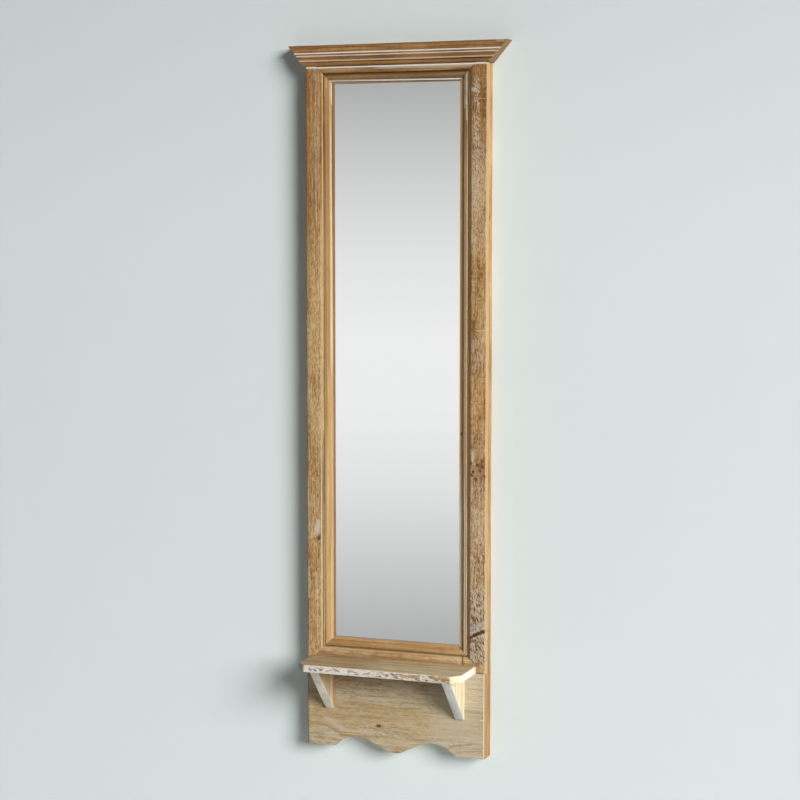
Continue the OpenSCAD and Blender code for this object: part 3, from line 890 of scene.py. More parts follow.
def right_stile_wood(c):
    """Brown wood at the top, mottled tan lower down, and rough bark-like wood near the shelf, with
    painted shade on the shoulder beside the moulding and painted light on its very edge.
    """
    look = WoodLook(
        "right_stile_wood", "Z", ("7d592f", c.tan, c.tan_light),
        seed=3.7, spacing=3.0, pith=(-30, 44, 0),
        knots=[
            ((137.9, 0, -523.8), (3.0, 99, 3.2)),
            ((123.9, 0, -531.9), (2.3, 99, 3.2)),
            ((135.2, 0, -640.2), (1.3, 99, 2.2)),
        ],
    )
    look.grow(streaks=0.3, flecks=0.65, patches=0.5)
    s = look.s
    out = look.outward(INNER_X)
    look.wash(0.6, (0.95, 0.88, 0.82))
    look.wash(s.smooth(out, 10, 18), (0.92, 0.9, 0.88))
    for start, stop, tone, strength in (
        (-325, -215, (0.98, 0.96, 0.86), 0.9),
        (-469, -385, (1.0, 0.93, 0.8), 0.9),
        (-500, -469, (0.98, 0.98, 1.02), 0.8),
        (-215, -60, (1.02, 0.94, 0.87), 0.8),
    ):
        look.wash(s.stripe(look.z, start, stop, 12), tone, strength)
    cross = s.noise(s.vector("MULTIPLY", look.mm, (0.05, 0.05, 0.42)), 3.0, 0.6, 2.6)
    look.paint("cdb793", 0.45, (1.6, 1.6, 1.9), s.smooth(cross, 0.48, 0.7), 0.6)
    look.paint("c9bca2", 0.4, (1.7, 1.7, 6), s.smooth(look.z, -500, -560), 0.85)
    look.paint("cdb999", 0.46, (1.1, 1.1, 4.5), s.stripe(look.z, -215, -55, 12), 0.7)
    look.paint("c3b196", 0.42, (1.8, 1.8, 10), s.stripe(look.z, -385, -330, 8), 0.7)
    border = s.plus(look.z, s.math("MULTIPLY_ADD", look.patches, 60, -30))
    upper = s.smooth(border, -95, -50)
    look.wash(upper, (0.64, 0.53, 0.42), 0.9)
    specks = s.times(s.stripe(look.z, -160, 50, 8), s.stripe(out, 5, 20, 5))
    look.paint("d3c4aa", 0.42, (1.2, 1.2, 4.5), specks, 0.85)
    look.marks(
        ((116.6, 33), (117.4, 4), 1.3, "cfc4b4", 0.7, 1.8),
        ((113.5, 31), (126, 27.5), 6.5, "bcb1a2", 0.85, 5),
        ((122, 37), (132, 30), 2.5, "b3a38e", 0.5, 3),
        ((128, 15), (141, 15.3), 1.0, "c2a27a", 0.7, 0.5),
        ((131, -46), (139, -56), 6, "b0a290", 0.4, 7),
        ((118, -61), (139, -60), 2.2, "b7a892", 0.55, 3),
        ((127, -323), (142, -322.6), 1.3, "d2bb95", 0.8, 1),
        ((122.5, -503), (124, -514), 5, "c8bda6", 0.65, 4),
        ((121, -529), (140, -533), 17, "9a7353", 0.3, 12),
    )
    for x, z in (
        (130.5, -520.5), (141, -537), (119.5, -518), (127.5, -541.5),
        (134, -529), (121, -536), (137, -514.5),
    ):
        look.mark((x, z), (x + 1.4, z - 1.8), 4.2, "5f3524", 0.85, 3.4)
    bark = s.times(s.stripe(look.z, -822, -706, 12), s.smooth(out, 3, 4.5))
    slant = s.math("MULTIPLY_ADD", look.z, 0.45, look.x)
    strokes = s.vector("MULTIPLY", s.join(slant, look.y, look.z), (0.62, 0.62, 0.2))
    crackle = s.noise(strokes, 4.0, 0.65, 1.8)
    look.tint(s.times(bark, s.smooth(crackle, 0.44, 0.66)), "c2b59f")
    look.tint(s.times(bark, s.smooth(crackle, 0.5, 0.3)), "5c3c26")
    look.marks(
        ((114, -770), (145, -756), 6, "aaa79c", 0.7, 3),
        ((114, -763), (145, -750), 1.4, "8a8072", 0.6, 2),
        ((114, -777), (145, -763), 3, "b9b2a4", 0.6, 2),
        ((116, -782), (130, -776), 3.4, "4f2f20", 0.95, 1.2),
        ((126, -776.5), (145, -768.5), 5.2, "4f2f20", 0.95, 1.2),
        ((134, -777.5), (145, -773.5), 1.6, "c3b7a2", 0.8, 1),
        ((117, -788), (128, -784), 4.5, "5d4230", 0.75, 3),
    )
    look.band(look.z, -836, -823, "bb9460", 0.65, 3)
    # Painted shade on the shoulder, which faces away from the lamp, and painted light on its very
    # edge, against the cast shadow there
    look.tint(s.smooth(out, 6.0, 4.4), "5e4630", 0.85)
    look.tint(s.smooth(out, 2.2, 1.4), "c4a27a", 0.85)
    white_arris(look, 0.8)
    outer_edge(look, "bba37c")
    return look.done("5d3a28", relief=0.5)


def top_rail_wood(c):
    """Brown wood whose upper arris is worn white, with painted shade along its lower edge."""
    look = WoodLook("top_rail_wood", "X", tones(c, "brown"), seed=4.9, spacing=3.2, pith=(50, 30, 0))
    look.grow(streaks=0.7, flecks=0.3)
    s = look.s
    up = s.minus(look.z, INNER_TOP / MM)
    haze = s.times(s.smooth(up, 1.5, 7.0), s.smooth(look.x, -60, -10))
    look.paint("b5a690", 0.85, (8, 8, 50), haze, 0.8)
    white_arris(look)
    # Painted shade on the shoulder along the lower edge, which faces down away from the light
    look.tint(s.smooth(up, 1.2, 0.2), "5a4630", 0.6)
    return look.done(c.knot)


def bottom_rail_wood(c):
    """Tan wood with a painted highlight on its shoulder, painted shade at its inner edge, and a short
    crack near its right end.
    """
    look = WoodLook("bottom_rail_wood", "X", tones(c, "tan"), seed=6.1, spacing=3.0, pith=(-40, 33, 0))
    look.grow(streaks=0.6, flecks=0.4)
    s = look.s
    down = s.minus(INNER_LOW / MM, look.z)
    look.lift(look.x, -40, 20, 0.97, 1.12)
    look.paint("bfa888", 0.4, (2.4, 2.4, 26), strength=0.5)
    # Painted highlight on the shoulder, which faces up into the light, and painted shade at the edge
    # by the quirk
    look.band(down, 0.9, 2.6, "c3a880", 0.7, 0.5)
    look.band(down, -1, 0.8, "8f704b", 0.6, 0.3)
    look.band(down, 10, 20, "947150", 0.4, 2)
    look.mark((101.5, -813), (102.5, -820), 5.5, "c9bba3", 0.65, 4)
    look.mark((108.3, -809.5), (108.6, -822), 2.3, "5e4c3f", 0.9, 1.2)
    return look.done(c.knot)


def moulding_outline(sizes):
    """Cross-section of the inner moulding: (distance out, depth, rounding)."""
    lip = RABBET_DEPTH + sizes.lip_t
    bead = FACE_DEPTH - sizes.bead_drop
    start = sizes.lip_w + sizes.bevel_w
    stop = start + sizes.bead_w
    side = sizes.bead_w * 0.25
    quirk = FACE_DEPTH - sizes.quirk_drop
    return [
        (0, RABBET_DEPTH, 0),
        (0, lip, 0.5 * MM),
        (sizes.lip_w, lip, 0.6 * MM),
        (start, bead, 0.4 * MM),
        (start + side, bead + sizes.bead_rise, 1.2 * MM),
        (stop - side, bead + sizes.bead_rise, 1.2 * MM),
        (stop, bead, 0.3 * MM),
        (stop, quirk, 0),
        (MOULDING_W, quirk, 0),
        (MOULDING_W, BACK_DEPTH, 0),
        (sizes.rabbet_w, BACK_DEPTH, 0),
        (sizes.rabbet_w, RABBET_DEPTH, 0),
    ]


class MIRROR_OT_inner_mouldings(Operator):
    """Make the four mouldings round the glass"""

    bl_idname = "wall_mirror.inner_mouldings"
    bl_label = "Inner mouldings"

    def execute(self, context):
        sizes, colours = context.scene.mirror_boards, context.scene.mirror_colours
        heights, widths = (SIGHT_LOW, SIGHT_TOP), (-SIGHT_X, SIGHT_X)
        jobs = (
            ("left", SIGHT_X, heights),
            ("right", SIGHT_X, heights),
            ("top", SIGHT_TOP, widths),
            ("bottom", SIGHT_LOW, widths),
        )
        for number, (side, inner, corners) in enumerate(jobs):
            ends = (corners[0] - MOULDING_W, corners[1] + MOULDING_W)
            outline, place = moulding_outline(sizes), side_place(side, inner)
            bm = mitred_bar(outline, ends, corners, place, sizes, 31 + 4.7 * number)
            wood, node = moulding_wood(side, colours), side + "_inner_moulding"
            finish_piece(side + "_sight_moulding", bm, wood, node)
        return {"FINISHED"}


def moulding_wood(side, c):
    """Honey wood with pale and brown lines along it, as wear has left them on each side."""
    upright = side in ("left", "right")
    wood = tones(c, "brown" if side == "top" else "tan")
    look = WoodLook(
        side + "_moulding_wood", "Z" if upright else "X", wood,
        seed={"left": 7.2, "right": 8.4, "top": 9.1, "bottom": 10.6}[side],
        spacing=2.8, pith=(35, 40, 0),
        knots=[((103.3, 0, -476.8), (1.7, 99, 3.2))] if side == "right" else [],
    )
    look.grow(streaks=0.6, flecks=0.3)
    if upright:
        out = look.outward(SIGHT_X)
    elif side == "top":
        out = look.s.minus(look.z, SIGHT_TOP / MM)
    else:
        out = look.s.minus(SIGHT_LOW / MM, look.z)
    lines = {
        "left": left_moulding_lines,
        "right": right_moulding_lines,
        "top": top_moulding_lines,
        "bottom": bottom_moulding_lines,
    }
    lines[side](look, out)
    return look.done(c.knot)


def left_moulding_lines(look, out):
    """Brown lip line, grey-cream line, orange bevel, tan bead, and an outer flank and quirk painted
    pale as painted light against their shade.
    """
    s = look.s
    middle = s.stripe(look.z, -650, -400, 30)
    ends = s.minus(1.0, middle)
    near = s.minus(out, s.smooth(look.z, -250, -80, 0, 0.8))
    look.band(near, -1, 1.7, "936a40", 0.85, 0.25)
    look.band(near, 1.9, 4.3, "c6b394", 0.8, 0.3, s.smooth(look.z, -120, -380, 0.4, 1.0))
    look.band(near, 2.9, 4.1, "e2d8c4", 0.75, 0.25, s.stripe(look.z, -380, -20, 30))
    look.band(near, 4.4, 5.6, "cbb28a", 0.7, 0.3, ends)
    look.band(out, 5.8, 8.6, "a3723c", 0.85, 0.4, ends)
    look.band(out, 5.2, 8.4, "b9925a", 0.85, 0.5, s.smooth(look.z, -640, -700))
    look.band(out, 4.6, 8.0, "b48d58", 0.85, 0.4, middle)
    look.band(out, 8.7, 12.4, "a48258", 0.85, 0.4)
    look.band(out, 8.7, 12.4, "c2a779", 0.85, 0.4, s.smooth(look.z, -440, -560))
    # Painted light on the outer flank and the quirk, to lift the shade that the geometry gives them
    look.band(out, 12.4, 16, "eccba0", 0.9, 0.3, s.smooth(look.z, -60, -260, 0.1, 1.0))
    look.band(out, 10.6, 11.4, "cfb48c", 0.5, 0.3, s.smooth(look.z, -60, 0))
    look.lift(look.z, -230, -60, 1.0, 0.8)
    look.marks(
        ((-103.6, 42), (-103.2, 12), 1.3, "ddd3c0", 0.85, 1.2),
        ((-112.6, 50), (-112.2, 24), 1.2, "c9b89c", 0.6, 1.6),
        ((-109.8, 50), (-109.6, 36), 1.0, "d6c9b4", 0.6, 1.4),
    )


def right_moulding_lines(look, out):
    """Brown lip painted lighter, paler still lower down, as painted light against the lamp's cast
    shadow; dark line on the bevel as painted shade; pinkish bead; and a quirk painted light against
    its shade, lighter lower down.
    """
    s = look.s
    upper = s.smooth(look.z, -90, -20)
    lower = s.smooth(look.z, -500, -620)
    near = s.minus(out, s.times(lower, 1.8))
    look.band(near, -3, 0.3, "c9bca4", 0.85, 0.2)
    # Painted light on the lip, which the lamp leaves in cast shadow
    look.band(near, 0.4, 4.2, "e6b074", 0.85, 0.3)
    look.band(near, -2, 4.0, "f0e3ca", 0.9, 0.5, lower)
    look.band(near, 4.2, 6.0, "ceac83", 0.85, 0.4)
    # Painted shade on the bevel, which faces away from the lamp
    look.band(near, 6.0, 7.6, "7c6b5a", 0.9, 0.3)
    look.band(near, 7.8, 9.8, "cfb08c", 0.85, 0.3)
    look.band(near, 9.8, 13.0, "94775a", 0.75, 0.3)
    # Painted light in the quirk, against its shade
    look.band(near, 13.0, 16, "c9a880", 0.85, 0.3)
    look.band(out, 13.4, 16, "f0e0c4", 0.9, 0.3, lower)
    look.dim(s.times(upper, s.stripe(out, 7.6, 13.6, 0.6)), 0.6)
    look.marks(
        ((108.2, 47), (109.0, 2), 1.6, "e0dad0", 0.9, 1.4),
        ((111.4, 50), (112, -15), 1.3, "cbbfae", 0.75, 1.8),
        ((100.5, -470), (101, -486), 1.6, "cfc9bf", 0.6, 1.6),
    )


def top_moulding_lines(look, out):
    """Brown lip, dark line, white line that drops a little to the right, brown bead, and a quirk
    darkened as painted shadow.
    """
    s = look.s
    near = s.math("MULTIPLY_ADD", look.x, 0.0085, out)
    look.lift(look.x, 10, 90, 1.0, 0.72)
    look.band(near, -2, 1.3, "a58c6c", 0.6, 0.4)
    look.band(near, 1.5, 2.8, "66523d", 0.8, 0.3)
    look.paint("dadad6", 0.97, (12, 12, 90), s.stripe(near, 2.9, 4.9, 0.3), 0.95)
    look.band(near, 5.1, 11.6, "92744c", 0.4, 0.3)
    # Painted shadow in the quirk, under the top rail
    look.band(out, 11.9, 16, "58452f", 0.85, 0.4)


def bottom_moulding_lines(look, out):
    """Pale sight edge, orange lip and bevel, and a quirk darkened as painted shade."""
    look.lift(look.x, 10, 90, 1.0, 1.12)
    look.band(out, -1, 0.7, "b3a185", 0.8, 0.2)
    look.band(out, 0.9, 4.2, "bd9665", 0.75, 0.5)
    look.band(out, 4.2, 12.6, "a9824f", 0.45, 0.5)
    # Painted shade in the quirk
    look.band(out, 13.0, 16, "93734d", 0.8, 0.4)


class MIRROR_OT_apron(Operator):
    """Make the scalloped apron"""

    bl_idname = "wall_mirror.apron"
    bl_label = "Apron"

    def execute(self, context):
        sizes, boards = context.scene.mirror_shelf, context.scene.mirror_boards
        bm = cad_copy("apron")
        front = -FACE_DEPTH + NEAR
        rim = [e for e in long_edges(bm, 0, angle=40) if all(v.co.y < front for v in e.verts)]
        round_edges(bm, rim, sizes.apron_ease)
        slice_up(bm, (X, 6 * MM), (Z, 6 * MM))
        waver(bm, boards.relief, seed=17.0)
        wood = apron_wood(context.scene.mirror_colours)
        finish_piece("apron_board", bm, wood, "apron")
        return {"FINISHED"}


def apron_wood(c):
    """Pale whitewashed board with broad grain along X, a small knot, and a painted shadow under the
    shelf.
    """
    look = WoodLook(
        "apron_wood", "X", tones(c, "beige"), seed=12.2, spacing=7.5, pith=(46, 14, 0), waviness=24.0,
        knots=[((-26.1, 0, -927.1), (4.8, 99, 3.0))],
    )
    look.grow(rings=0.3, fibres=0.5, streaks=0.35, flecks=0.45, patches=0.35)
    s = look.s
    look.lift(look.x, -20, -80, 1.0, 0.92)
    look.paint("c0b09b", 0.46, (6, 6, 60), strength=0.55)
    look.paint("cdc2b3", 0.42, (1.1, 1.1, 8), strength=0.6)
    wave = s.plus(look.z, s.math("MULTIPLY_ADD", look.patches, 22, -11))
    look.band(wave, -936, -890, "b0935e", 0.4, 7)
    look.band(look.x, 60, 143, "c8bda8", 0.45, 25)
    for start, end, width, code, strength in (
        ((-143, -929), (-112, -933), 2.6, "a5804a", 0.6),
        ((-112, -933), (-88, -944), 3.6, "a5804a", 0.65),
        ((-88, -945.5), (-60, -946.5), 3.6, "a5763d", 0.75),
        ((-60, -945.5), (-27, -944.6), 2.4, "a5763d", 0.7),
        ((-92, -905), (40, -895), 3.0, "a3854f", 0.45),
        ((88, -948.5), (122, -942.5), 2.4, "94724c", 0.6),
        ((100, -956), (138, -951.5), 2.6, "9d7d54", 0.5),
        ((15, -946), (50, -944), 2.4, "a88556", 0.5),
        ((112, -892.5), (143, -893), 5, "998557", 0.5),
        ((-140, -963), (-108, -964), 3.5, "a98350", 0.5),
        ((139.4, -899.6), (141, -901), 2.2, "6f5b3a", 0.8),
        ((138.5, -904.8), (142.8, -904.4), 1.4, "e9dfc8", 0.9),
    ):
        look.mark(start, end, width, code, strength, 2.4)
    look.marks(
        ((-112, -922), (-86, -936), 7, "c4b4a2", 0.5, 4),
        ((-86, -937), (-40, -939), 6, "c4b4a2", 0.45, 4),
        ((-12, -952), (14, -950), 22, "baa584", 0.45, 9),
        ((-26.6, -926.6), (-25.4, -927.0), 2.5, "b39c8e", 0.9, 0.6),
    )
    look.band(look.x, 140.7, 142.6, "dccdb2", 0.85, 0.3, s.smooth(look.y, -26.4, -27.4))
    # Painted shadow of the shelf on the apron, between the brackets
    painted_shade = s.times(s.smooth(look.z, -890, -842), s.smooth(s.math("ABSOLUTE", look.x), 112, 104))
    look.wash(painted_shade, (0.66, 0.6, 0.56))
    outer_edge(look, "a67d51", 0.9)
    return look.done("5c4233", roughness=0.7)


class MIRROR_OT_shelf(Operator):
    """Make the shelf with its chipped front edge"""

    bl_idname = "wall_mirror.shelf"
    bl_label = "Shelf"

    def execute(self, context):
        sizes, boards = context.scene.mirror_shelf, context.scene.mirror_boards
        lo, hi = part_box("shelf")
        bm = bmesh.new()
        bmesh.ops.create_cube(bm, size=1)
        bmesh.ops.scale(bm, vec=hi - lo, verts=bm.verts[:])
        bmesh.ops.translate(bm, vec=(lo + hi) / 2, verts=bm.verts[:])
        front = [e for e in bm.edges if all(v.co.y < lo.y + NEAR for v in e.verts)]
        round_edges(bm, [e for e in front if square_to(e, X)], sizes.clip, 1)
        level = [e for e in bm.edges if square_to(e, Z)]
        rims = [e for e in level if any(v.co.y < hi.y - NEAR for v in e.verts)]
        upper = [e for e in rims if e.verts[0].co.z > lo.z + NEAR]
        lower = [e for e in rims if e.verts[0].co.z < lo.z + NEAR]
        round_edges(bm, upper, sizes.ease)
        round_edges(bm, lower, sizes.ease * 0.4)
        slice_up(bm, (X, 2.2 * MM), (Y, 2.6 * MM), (Z, 2.4 * MM))
        bm.normal_update()
        self.chip_front(bm, lo, hi, sizes)
        waver(bm, boards.relief, seed=23.0)
        wood = shelf_wood(context.scene.mirror_colours)
        finish_piece("shelf_board", bm, wood, "shelf")
        return {"FINISHED"}

    def chip_front(self, bm, lo, hi, sizes):
        """Takes flakes off the front edge and its clipped corners, most of all along the upper rim."""
        middle, half = (lo.z + hi.z) / 2, (hi.z - lo.z) / 2
        long, short = sizes.chip_length, sizes.chip_length * 0.4
        reach = lo.y + sizes.clip + 0.1 * MM
        for vert in bm.verts:
            if vert.co.y < reach and -vert.normal.y >= 0.3:
                spot = Vector((vert.co.x / long, 3.3, vert.co.z / short))
                flake = max(0.0, noise.noise(spot) + 0.12) + 0.6 * max(0.0, noise.noise(spot * 2.7))
                at_edge = 0.35 + 0.65 * max(0.0, vert.co.z - middle) / half
                vert.co -= vert.normal * (sizes.chip * flake * at_edge)


def shelf_wood(c):
    """Beige top, and a chalky front edge with brown chips, painted shade on its left end and three
    dark blots at its left.
    """
    lo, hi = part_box("shelf")
    look = WoodLook(
        "shelf_wood", "X", ("998259", "b8a277", "cfc09d"),
        seed=14.7, spacing=5.0, pith=(60, 20, 0), waviness=14.0,
    )
    look.grow(rings=0.3, fibres=0.5, streaks=0.6, flecks=0.2)
    s = look.s
    look.paint("bdb3a4", 0.42, (3, 3, 50), strength=0.5)
    look.wash(s.smooth(look.x, 0, -50), (0.96, 0.86, 0.76))
    look.lift(look.x, -50, 10, 1.0, 1.25)
    wide = s.math("ABSOLUTE", look.x)
    corner_line = s.minus(wide, s.minus(look.y, lo.y / MM))
    edge = s.smooth(look.y, lo.y / MM + 1.5, lo.y / MM + 0.7)
    corner = s.smooth(corner_line, hi.x / MM - 14.6, hi.x / MM - 13.4)
    side = s.smooth(wide, hi.x / MM - 1.7, hi.x / MM - 0.8)
    band = s.math("MAXIMUM", s.math("MAXIMUM", edge, corner), side)
    look.tint(band, "8d6a3b", 0.9)
    rims = s.minus(1.0, s.stripe(look.z, lo.z / MM + 1.3, hi.z / MM - 1.6, 0.6))
    look.tint(s.times(band, rims), "d6b47c", 0.75)
    cover = s.smooth(look.x, -80, 120, 0.66, 0.48)
    chips = (1.5, 1.5, 8)
    chalk = s.group("old_paint", vector=look.along, fibres=look.flecks, cover=cover, patch=chips)
    look.tint(s.times(chalk["Mask"], band), "dcd6ce")
    for start, end, width, code, strength in (
        ((-97, -826.5), (-87, -829), 3.6, "97703f", 0.8),
        ((-68, -826.5), (-60, -829), 3.0, "a27b4a", 0.7),
        ((-44, -829), (-36, -827), 2.6, "a27b4a", 0.7),
        ((-22, -830.5), (-12, -829), 2.6, "a9824f", 0.6),
        ((24, -826.5), (32, -831), 3.6, "94682f", 0.8),
        ((38, -827.5), (62, -828.5), 3.8, "a5804f", 0.75),
        ((84, -826.5), (113, -829.5), 3.4, "a37642", 0.8),
    ):
        look.mark(start, end, width, code, strength, 3)
    right = s.smooth(look.x, hi.x / MM - 16, hi.x / MM - 12)
    cream = s.times(right, band, s.smooth(look.flecks, 0.2, 0.6, 0.6, 0.95))
    look.tint(cream, "e9dab6")
    look.tint(s.times(side, right), "e6e0d6", 0.7)
    look.mark((-109, -829), (-95, -830), 8, "d9d4d0", 0.9, 2)
    # Painted shade on the left end of the front edge
    look.tint(s.times(band, s.smooth(look.x, -117, -123, 0, 0.6)), "7f6a52")
    for start, end, width in (
        ((-108, -828.2), (-104.8, -830.4), 2.6),
        ((-103.6, -829.4), (-100.6, -829.8), 1.1),
        ((-99.6, -828.6), (-96.4, -831), 2.2),
    ):
        look.mark(start, end, width, "43362f", 0.8, 2.6)
    return look.done(c.knot, roughness=0.7, relief=0.5)


class MIRROR_OT_brackets(Operator):
    """Make the two brackets under the shelf"""

    bl_idname = "wall_mirror.brackets"
    bl_label = "Brackets"

    def execute(self, context):
        sizes, boards = context.scene.mirror_shelf, context.scene.mirror_boards
        for number, node in enumerate(("left_bracket", "right_bracket")):
            lo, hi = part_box(node)
            tip = -lo.y
            bm = bmesh.new()
            outline = [
                (hi.z, FACE_DEPTH, 0),
                (hi.z, tip, 0),
                (hi.z - sizes.toe, tip, 0.8 * MM),
                (lo.z, FACE_DEPTH + sizes.toe, 0.8 * MM),
                (lo.z, FACE_DEPTH, 0),
            ]
            outline_face(bm, outline)
            raise_solid(bm, lo.x, hi.x)
            bmesh.ops.transform(bm, matrix=side_place("top", 0), verts=bm.verts[:])
            below, proud = hi.z - NEAR, -FACE_DEPTH - NEAR
            rims = [e for e in long_edges(bm, 4 * MM, angle=20) if square_to(e, X)]
            slope = [e for e in rims if any(v.co.z < below and v.co.y < proud for v in e.verts)]
            round_edges(bm, slope, sizes.ease)
            slice_up(bm, (Z, 5 * MM), (Y, 5 * MM))
            waver(bm, boards.relief, 41.0 + 7 * number)
            wood = bracket_wood(node, context.scene.mirror_colours)
            finish_piece(node + "_board", bm, wood, node)
        return {"FINISHED"}


def bracket_wood(node, c):
    """Pale bracket: chalky slope, and sides with upright grain."""
    left = node.startswith("left")
    wood = ("a08560", "b89f7b", "ccb998") if left else ("cbb38c", "e0d2b2", "eee3cd")
    seed = 16.3 if left else 18.8
    look = WoodLook(node + "_wood", "Z", wood, seed=seed, spacing=3.0, pith=(28, 60, 0))
    look.grow(streaks=0.8, flecks=0.2)
    s = look.s
    lo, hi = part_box(node)
    depth = s.minus(-FACE_DEPTH / MM, look.y)
    if left:
        look.band(depth, -1, 7.5, "b9874f", 0.85, 0.8)
        look.band(depth, 8.5, 19, "c7bca8", 0.65, 1.2)
    else:
        look.band(depth, 12, 17, "d2b78a", 0.5, 1.5)
        look.band(depth, 29, 33, "d0b486", 0.45, 1.5)
        look.band(depth, -1, 4, "e9dcbc", 0.6, 1)
    slope = bracket_slope(look, lo, hi)
    look.tint(slope, "d3c9b8" if left else "c6c6c1", 0.85)
    look.paint("e0dacd" if left else "d4d6d6", 0.45, (2.2, 2.2, 24), slope, 0.6)
    return look.done(c.knot, roughness=0.7)


def bracket_slope(look, lo, hi):
    """Mask of a bracket's sloping face, which runs from its tip to its toe."""
    s = look.s
    toe = bpy.context.scene.mirror_shelf.toe
    tip = Vector((0, lo.y, hi.z - toe))
    run = Vector((0, -FACE_DEPTH - toe, lo.z)) - tip
    normal = Vector((0, run.z, -run.y)).normalized()
    away = s.vector("SUBTRACT", look.mm, tuple(tip / MM))
    gap = s.math("ABSOLUTE", s.vector("DOT_PRODUCT", away, tuple(normal)))
    return s.smooth(gap, 1.5, 0.7)


class MIRROR_OT_back_frame(Operator):
    """Finish the side boards, the back rails and the dowels"""

    bl_idname = "wall_mirror.back_frame"
    bl_label = "Back frame"

    def execute(self, context):
        colours = context.scene.mirror_colours
        sides = ("left_side_board", "right_side_board")
        boards = [(node, side_wood(node, colours), "side_wood") for node in sides]
        bare = back_wood(colours)
        boards += [(node, bare, "back_wood") for node in ("hanging_rail", "lower_back_rail")]
        for node, wood, slot in boards:
            bm = cad_copy(node)
            round_edges(bm, long_edges(bm, 12 * MM), 0.4 * MM)
            finish_piece(node + "_stock", bm, wood, node)
        dress(["corner_dowels"], bare)
        return {"FINISHED"}


def side_wood(node, c):
    """Orange waxed softwood with straight upright grain."""
    seed = 20.4 if node.startswith("left") else 22.9
    look = WoodLook(
        node + "_wood", "Z", tones(c, "honey"), seed=seed, spacing=3.6, pith=(70, 20, 0),
        knots=[((142, -12, -156.5), (99, 2.0, 3.0))],
    )
    look.grow(rings=0.4, streaks=0.75, flecks=0.2)
    look.lift(look.z, -960, -600, 0.78, 1.0)
    return look.done(c.knot)


def back_wood(c):
    """Sawn softwood, left bare."""
    wood = ("a88458", "c9a878", "dfc8a0")
    look = WoodLook("back_wood", "X", wood, seed=25.5, spacing=3.8, pith=(30, 50, 0))
    look.grow(rings=0.4)
    saw_marks = look.s.noise(look.s.vector("MULTIPLY", look.mm, (1.1, 0.1, 0.05)), 1.0, 0.5, 2.0)
    look.height = look.s.plus(look.height, saw_marks)
    return look.done(c.knot, roughness=0.78)


class MIRROR_OT_glass(Operator):
    """Finish the mirror and its backing board"""

    bl_idname = "wall_mirror.glass"
    bl_label = "Mirror and backing"

    def execute(self, context):
        dress(["mirror_glass"], silvered_glass(context.scene.mirror_colours))
        dress(["backing_board"], fibre_board())
        return {"FINISHED"}


def silvered_glass(c):
    """Silvered glass with the faintest haze of wiping marks."""
    material, s, principled = new_material("silvered_glass")
    haze = s.noise(s.vector("MULTIPLY", s.object_mm(), (0.02, 0.02, 0.008)), 4.0, 0.6, 2.0)
    rough = s.math("MULTIPLY_ADD", haze, 0.02, 0.015)
    s.fill(principled, {"Base Color": c.silver, "Metallic": 1.0, "Roughness": rough})
    return material


def fibre_board():
    """Brown pressed fibre board with a screened back."""
    material, s, principled = new_material("fibre_board")
    mm = s.object_mm()
    fibres = s.noise(s.vector("SCALE", mm, 0.9), 5.0, 0.7, 2.0)
    clouds = s.noise(s.vector("SCALE", mm, 0.02), 3.0, 0.5, 2.0)
    tone = s.plus(s.times(fibres, 0.6), s.times(clouds, 0.4))
    x, _, z = s.split(mm)
    screen = s.times(*(s.math("SINE", s.times(way, 3.1)) for way in (x, z)))
    values = {
        "Base Color": s.ramp(tone, (0.15, "553c28"), (0.5, "775539"), (0.9, "94704c")),
        "Roughness": s.math("MULTIPLY_ADD", fibres, 0.2, 0.65),
        "Normal": s.bump(s.plus(screen, fibres), 0.5, 0.2),
    }
    s.fill(principled, values)
    return material


class MIRROR_OT_hardware(Operator):
    """Finish the keyhole plates, the screws and the backing points"""

    bl_idname = "wall_mirror.hardware"
    bl_label = "Hardware"

    def execute(self, context):
        colours = context.scene.mirror_colours
        dress(["left_keyhole_plate", "right_keyhole_plate"], zinc_plate("zinc_plate", colours, 0.38))
        screws = ["hanger_screws", "shelf_screws", "bracket_screws", "apron_screws", "crown_screws"]
        dress(screws + ["backing_points"], zinc_plate("zinc_screw", colours, 0.3))
        return {"FINISHED"}


def zinc_plate(name, c, roughness):
    """Zinc plating with a fine crystal pattern and small scratches."""
    material, s, principled = new_material(name)
    mm = s.object_mm()
    crystals = s.add("TexVoronoi", {"Vector": mm, "Scale": 0.6}).outputs["Color"]
    scratches = s.noise(s.vector("MULTIPLY", mm, (6.0, 6.0, 0.3)), 2.0, 0.5, 2.4)
    tone = s.plus(s.times(s.split(crystals)[0], 0.5), s.times(scratches, 0.5))
    dark = tuple(v * 0.72 for v in c.zinc)
    values = {
        "Base Color": s.ramp(tone, (0.1, dark), (0.9, c.zinc)),
        "Metallic": 1.0,
        "Roughness": s.math("MULTIPLY_ADD", tone, 0.18, roughness - 0.09),
        "Normal": s.bump(scratches, 0.25, 0.05),
    }
    s.fill(principled, values)
    return material


# The stage in metres, with the camera's turn and drop in degrees; the lamps face the mirror's middle
WALL_W, FLOOR_W = 8.0, 9.0
WALL_GAP = 0.5 * MM
FLOOR_Z = -1.7
MIRROR_MIDDLE = Vector((0, 0, -0.4))
CAMERA_PLACE = (1.0558, -2.8434, -0.171)
CAMERA_TURN = 20.403
CAMERA_DROP = 4.9
SENSOR_W = 36


